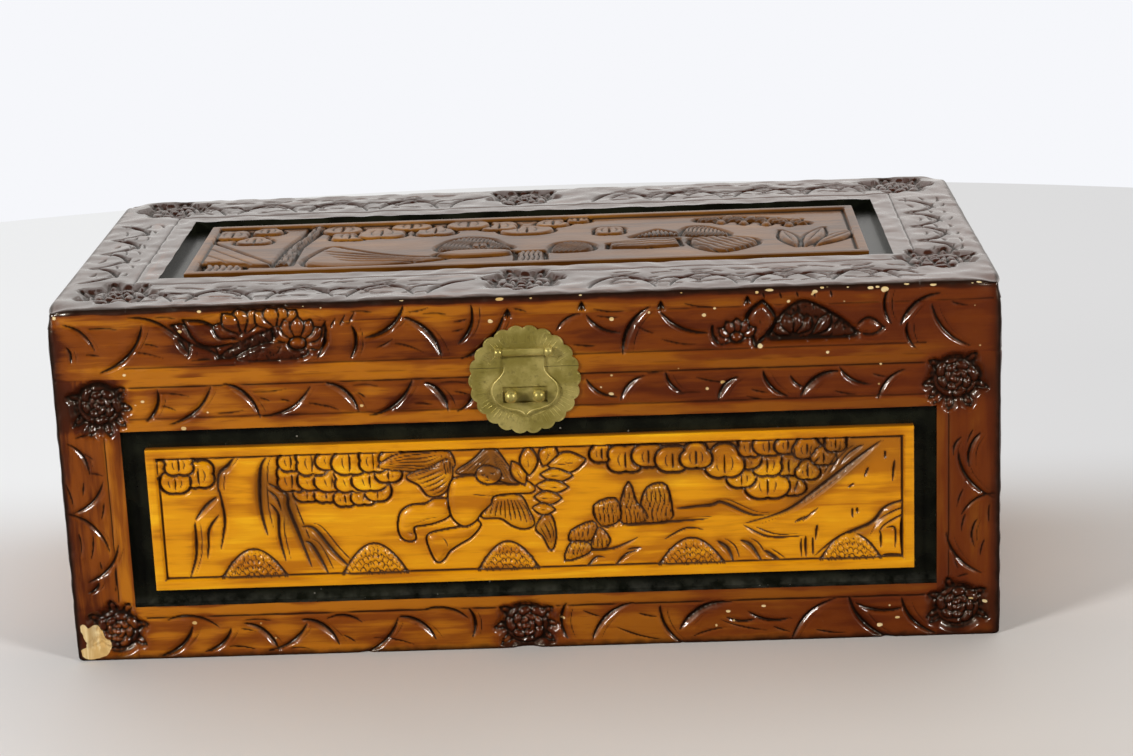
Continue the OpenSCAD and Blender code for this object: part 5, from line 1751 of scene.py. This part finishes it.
def stage_floor():
    """A round pale table. Behind the box it glows nearly white for the camera, a painted backdrop, and what
    the box mirrors of it is dark.
    """
    look = Look("floor")
    coords = look.add("TexCoord").outputs["Object"]
    apart = look.add("SeparateXYZ")
    look.plug(coords, apart.inputs[0])
    across, back = apart.outputs[0], apart.outputs[1]
    rays = look.add("LightPath").outputs
    cloud = look.noise(coords, 3.0, 3, 0.5)
    colour = look.mix(look.ramp(cloud, 0.35, 0.65), seen_as(212, 205, 198), seen_as(220, 213, 206))
    # Painted light: the floor is paler to the left and to the right of the box.
    colour = look.mix(look.ramp(across, -0.08, -0.34, 0, 0.9), colour, seen_as(238, 239, 241))
    colour = look.mix(look.ramp(across, 0.15, 0.4, 0, 0.8), colour, seen_as(226, 226, 227))
    mirrored = look.times(rays["Is Glossy Ray"], look.ramp(back, 0.1, -0.12))
    colour = look.mix(mirrored, colour, seen_as(60, 58, 56))
    # Behind the box the floor glows for the camera as a painted backdrop, darker towards the right.
    wall = look.mix(look.ramp(across, -0.3, 0.4), seen_as(238, 239, 240), seen_as(220, 220, 221))
    backdrop_glow = look.times(rays["Is Camera Ray"], look.ramp(back, 0.02, 0.16, 0, 0.85))
    look.plug(look.mix(backdrop_glow, colour, (0, 0, 0)), look.surface.inputs["Base Color"])
    look.plug(wall, look.surface.inputs["Emission Color"])
    look.plug(backdrop_glow, look.surface.inputs["Emission Strength"])
    look.surface.inputs["Roughness"].default_value = 0.75
    look.surface.inputs["Specular IOR Level"].default_value = 0.2
    mesh = bpy.data.meshes.new("floor")
    turns = np.linspace(0, 2 * math.pi, 160)[:-1]
    points = [(*away_from(*TABLE_AT, t, TABLE_R), 0) for t in turns]
    mesh.from_pydata(points, [], [list(range(len(points)))])
    mesh.materials.append(look.material)
    linked("floor", mesh)


def area_light(name, at, target, size, power):
    """A soft lamp at one place that faces another."""
    data = bpy.data.lights.new(name, "AREA")
    data.shape = "RECTANGLE"
    data.size, data.size_y = size
    data.energy = power
    way = np.subtract(target, at)
    way = way / np.linalg.norm(way)
    side = np.cross(way, (0, 0, 1))
    side /= np.linalg.norm(side)
    top = np.cross(side, way)
    linked(name, data).matrix_world = aimed(at, side, top, way)


def world():
    """A studio that is dark in front and bright behind. The camera sees plain white."""
    made = bpy.data.worlds.new("studio")
    bpy.context.scene.world = made
    made.use_nodes = True
    tree = made.node_tree
    seen = tree.nodes["Background"]
    seen.inputs["Color"].default_value = (*seen_as(246, 247, 251), 1.0)
    room = tree.nodes.new("ShaderNodeBackground")
    room.inputs["Color"].default_value = (1.0, 0.98, 0.95, 1.0)
    coords = tree.nodes.new("ShaderNodeTexCoord")
    apart = tree.nodes.new("ShaderNodeSeparateXYZ")
    tree.links.new(coords.outputs["Generated"], apart.inputs[0])
    behind = tree.nodes.new("ShaderNodeMapRange")
    tree.links.new(apart.outputs["Y"], behind.inputs["Value"])
    for key, number in (("From Min", -0.1), ("From Max", 0.5), ("To Min", 0.05), ("To Max", 0.9)):
        behind.inputs[key].default_value = number
    tree.links.new(behind.outputs["Result"], room.inputs["Strength"])
    path = tree.nodes.new("ShaderNodeLightPath")
    choice = tree.nodes.new("ShaderNodeMixShader")
    tree.links.new(path.outputs["Is Camera Ray"], choice.inputs[0])
    tree.links.new(room.outputs[0], choice.inputs[1])
    tree.links.new(seen.outputs[0], choice.inputs[2])
    tree.links.new(choice.outputs[0], tree.nodes["World Output"].inputs["Surface"])


stage_floor()
for name, settings in LAMPS.items():
    area_light(name, *settings)
world()
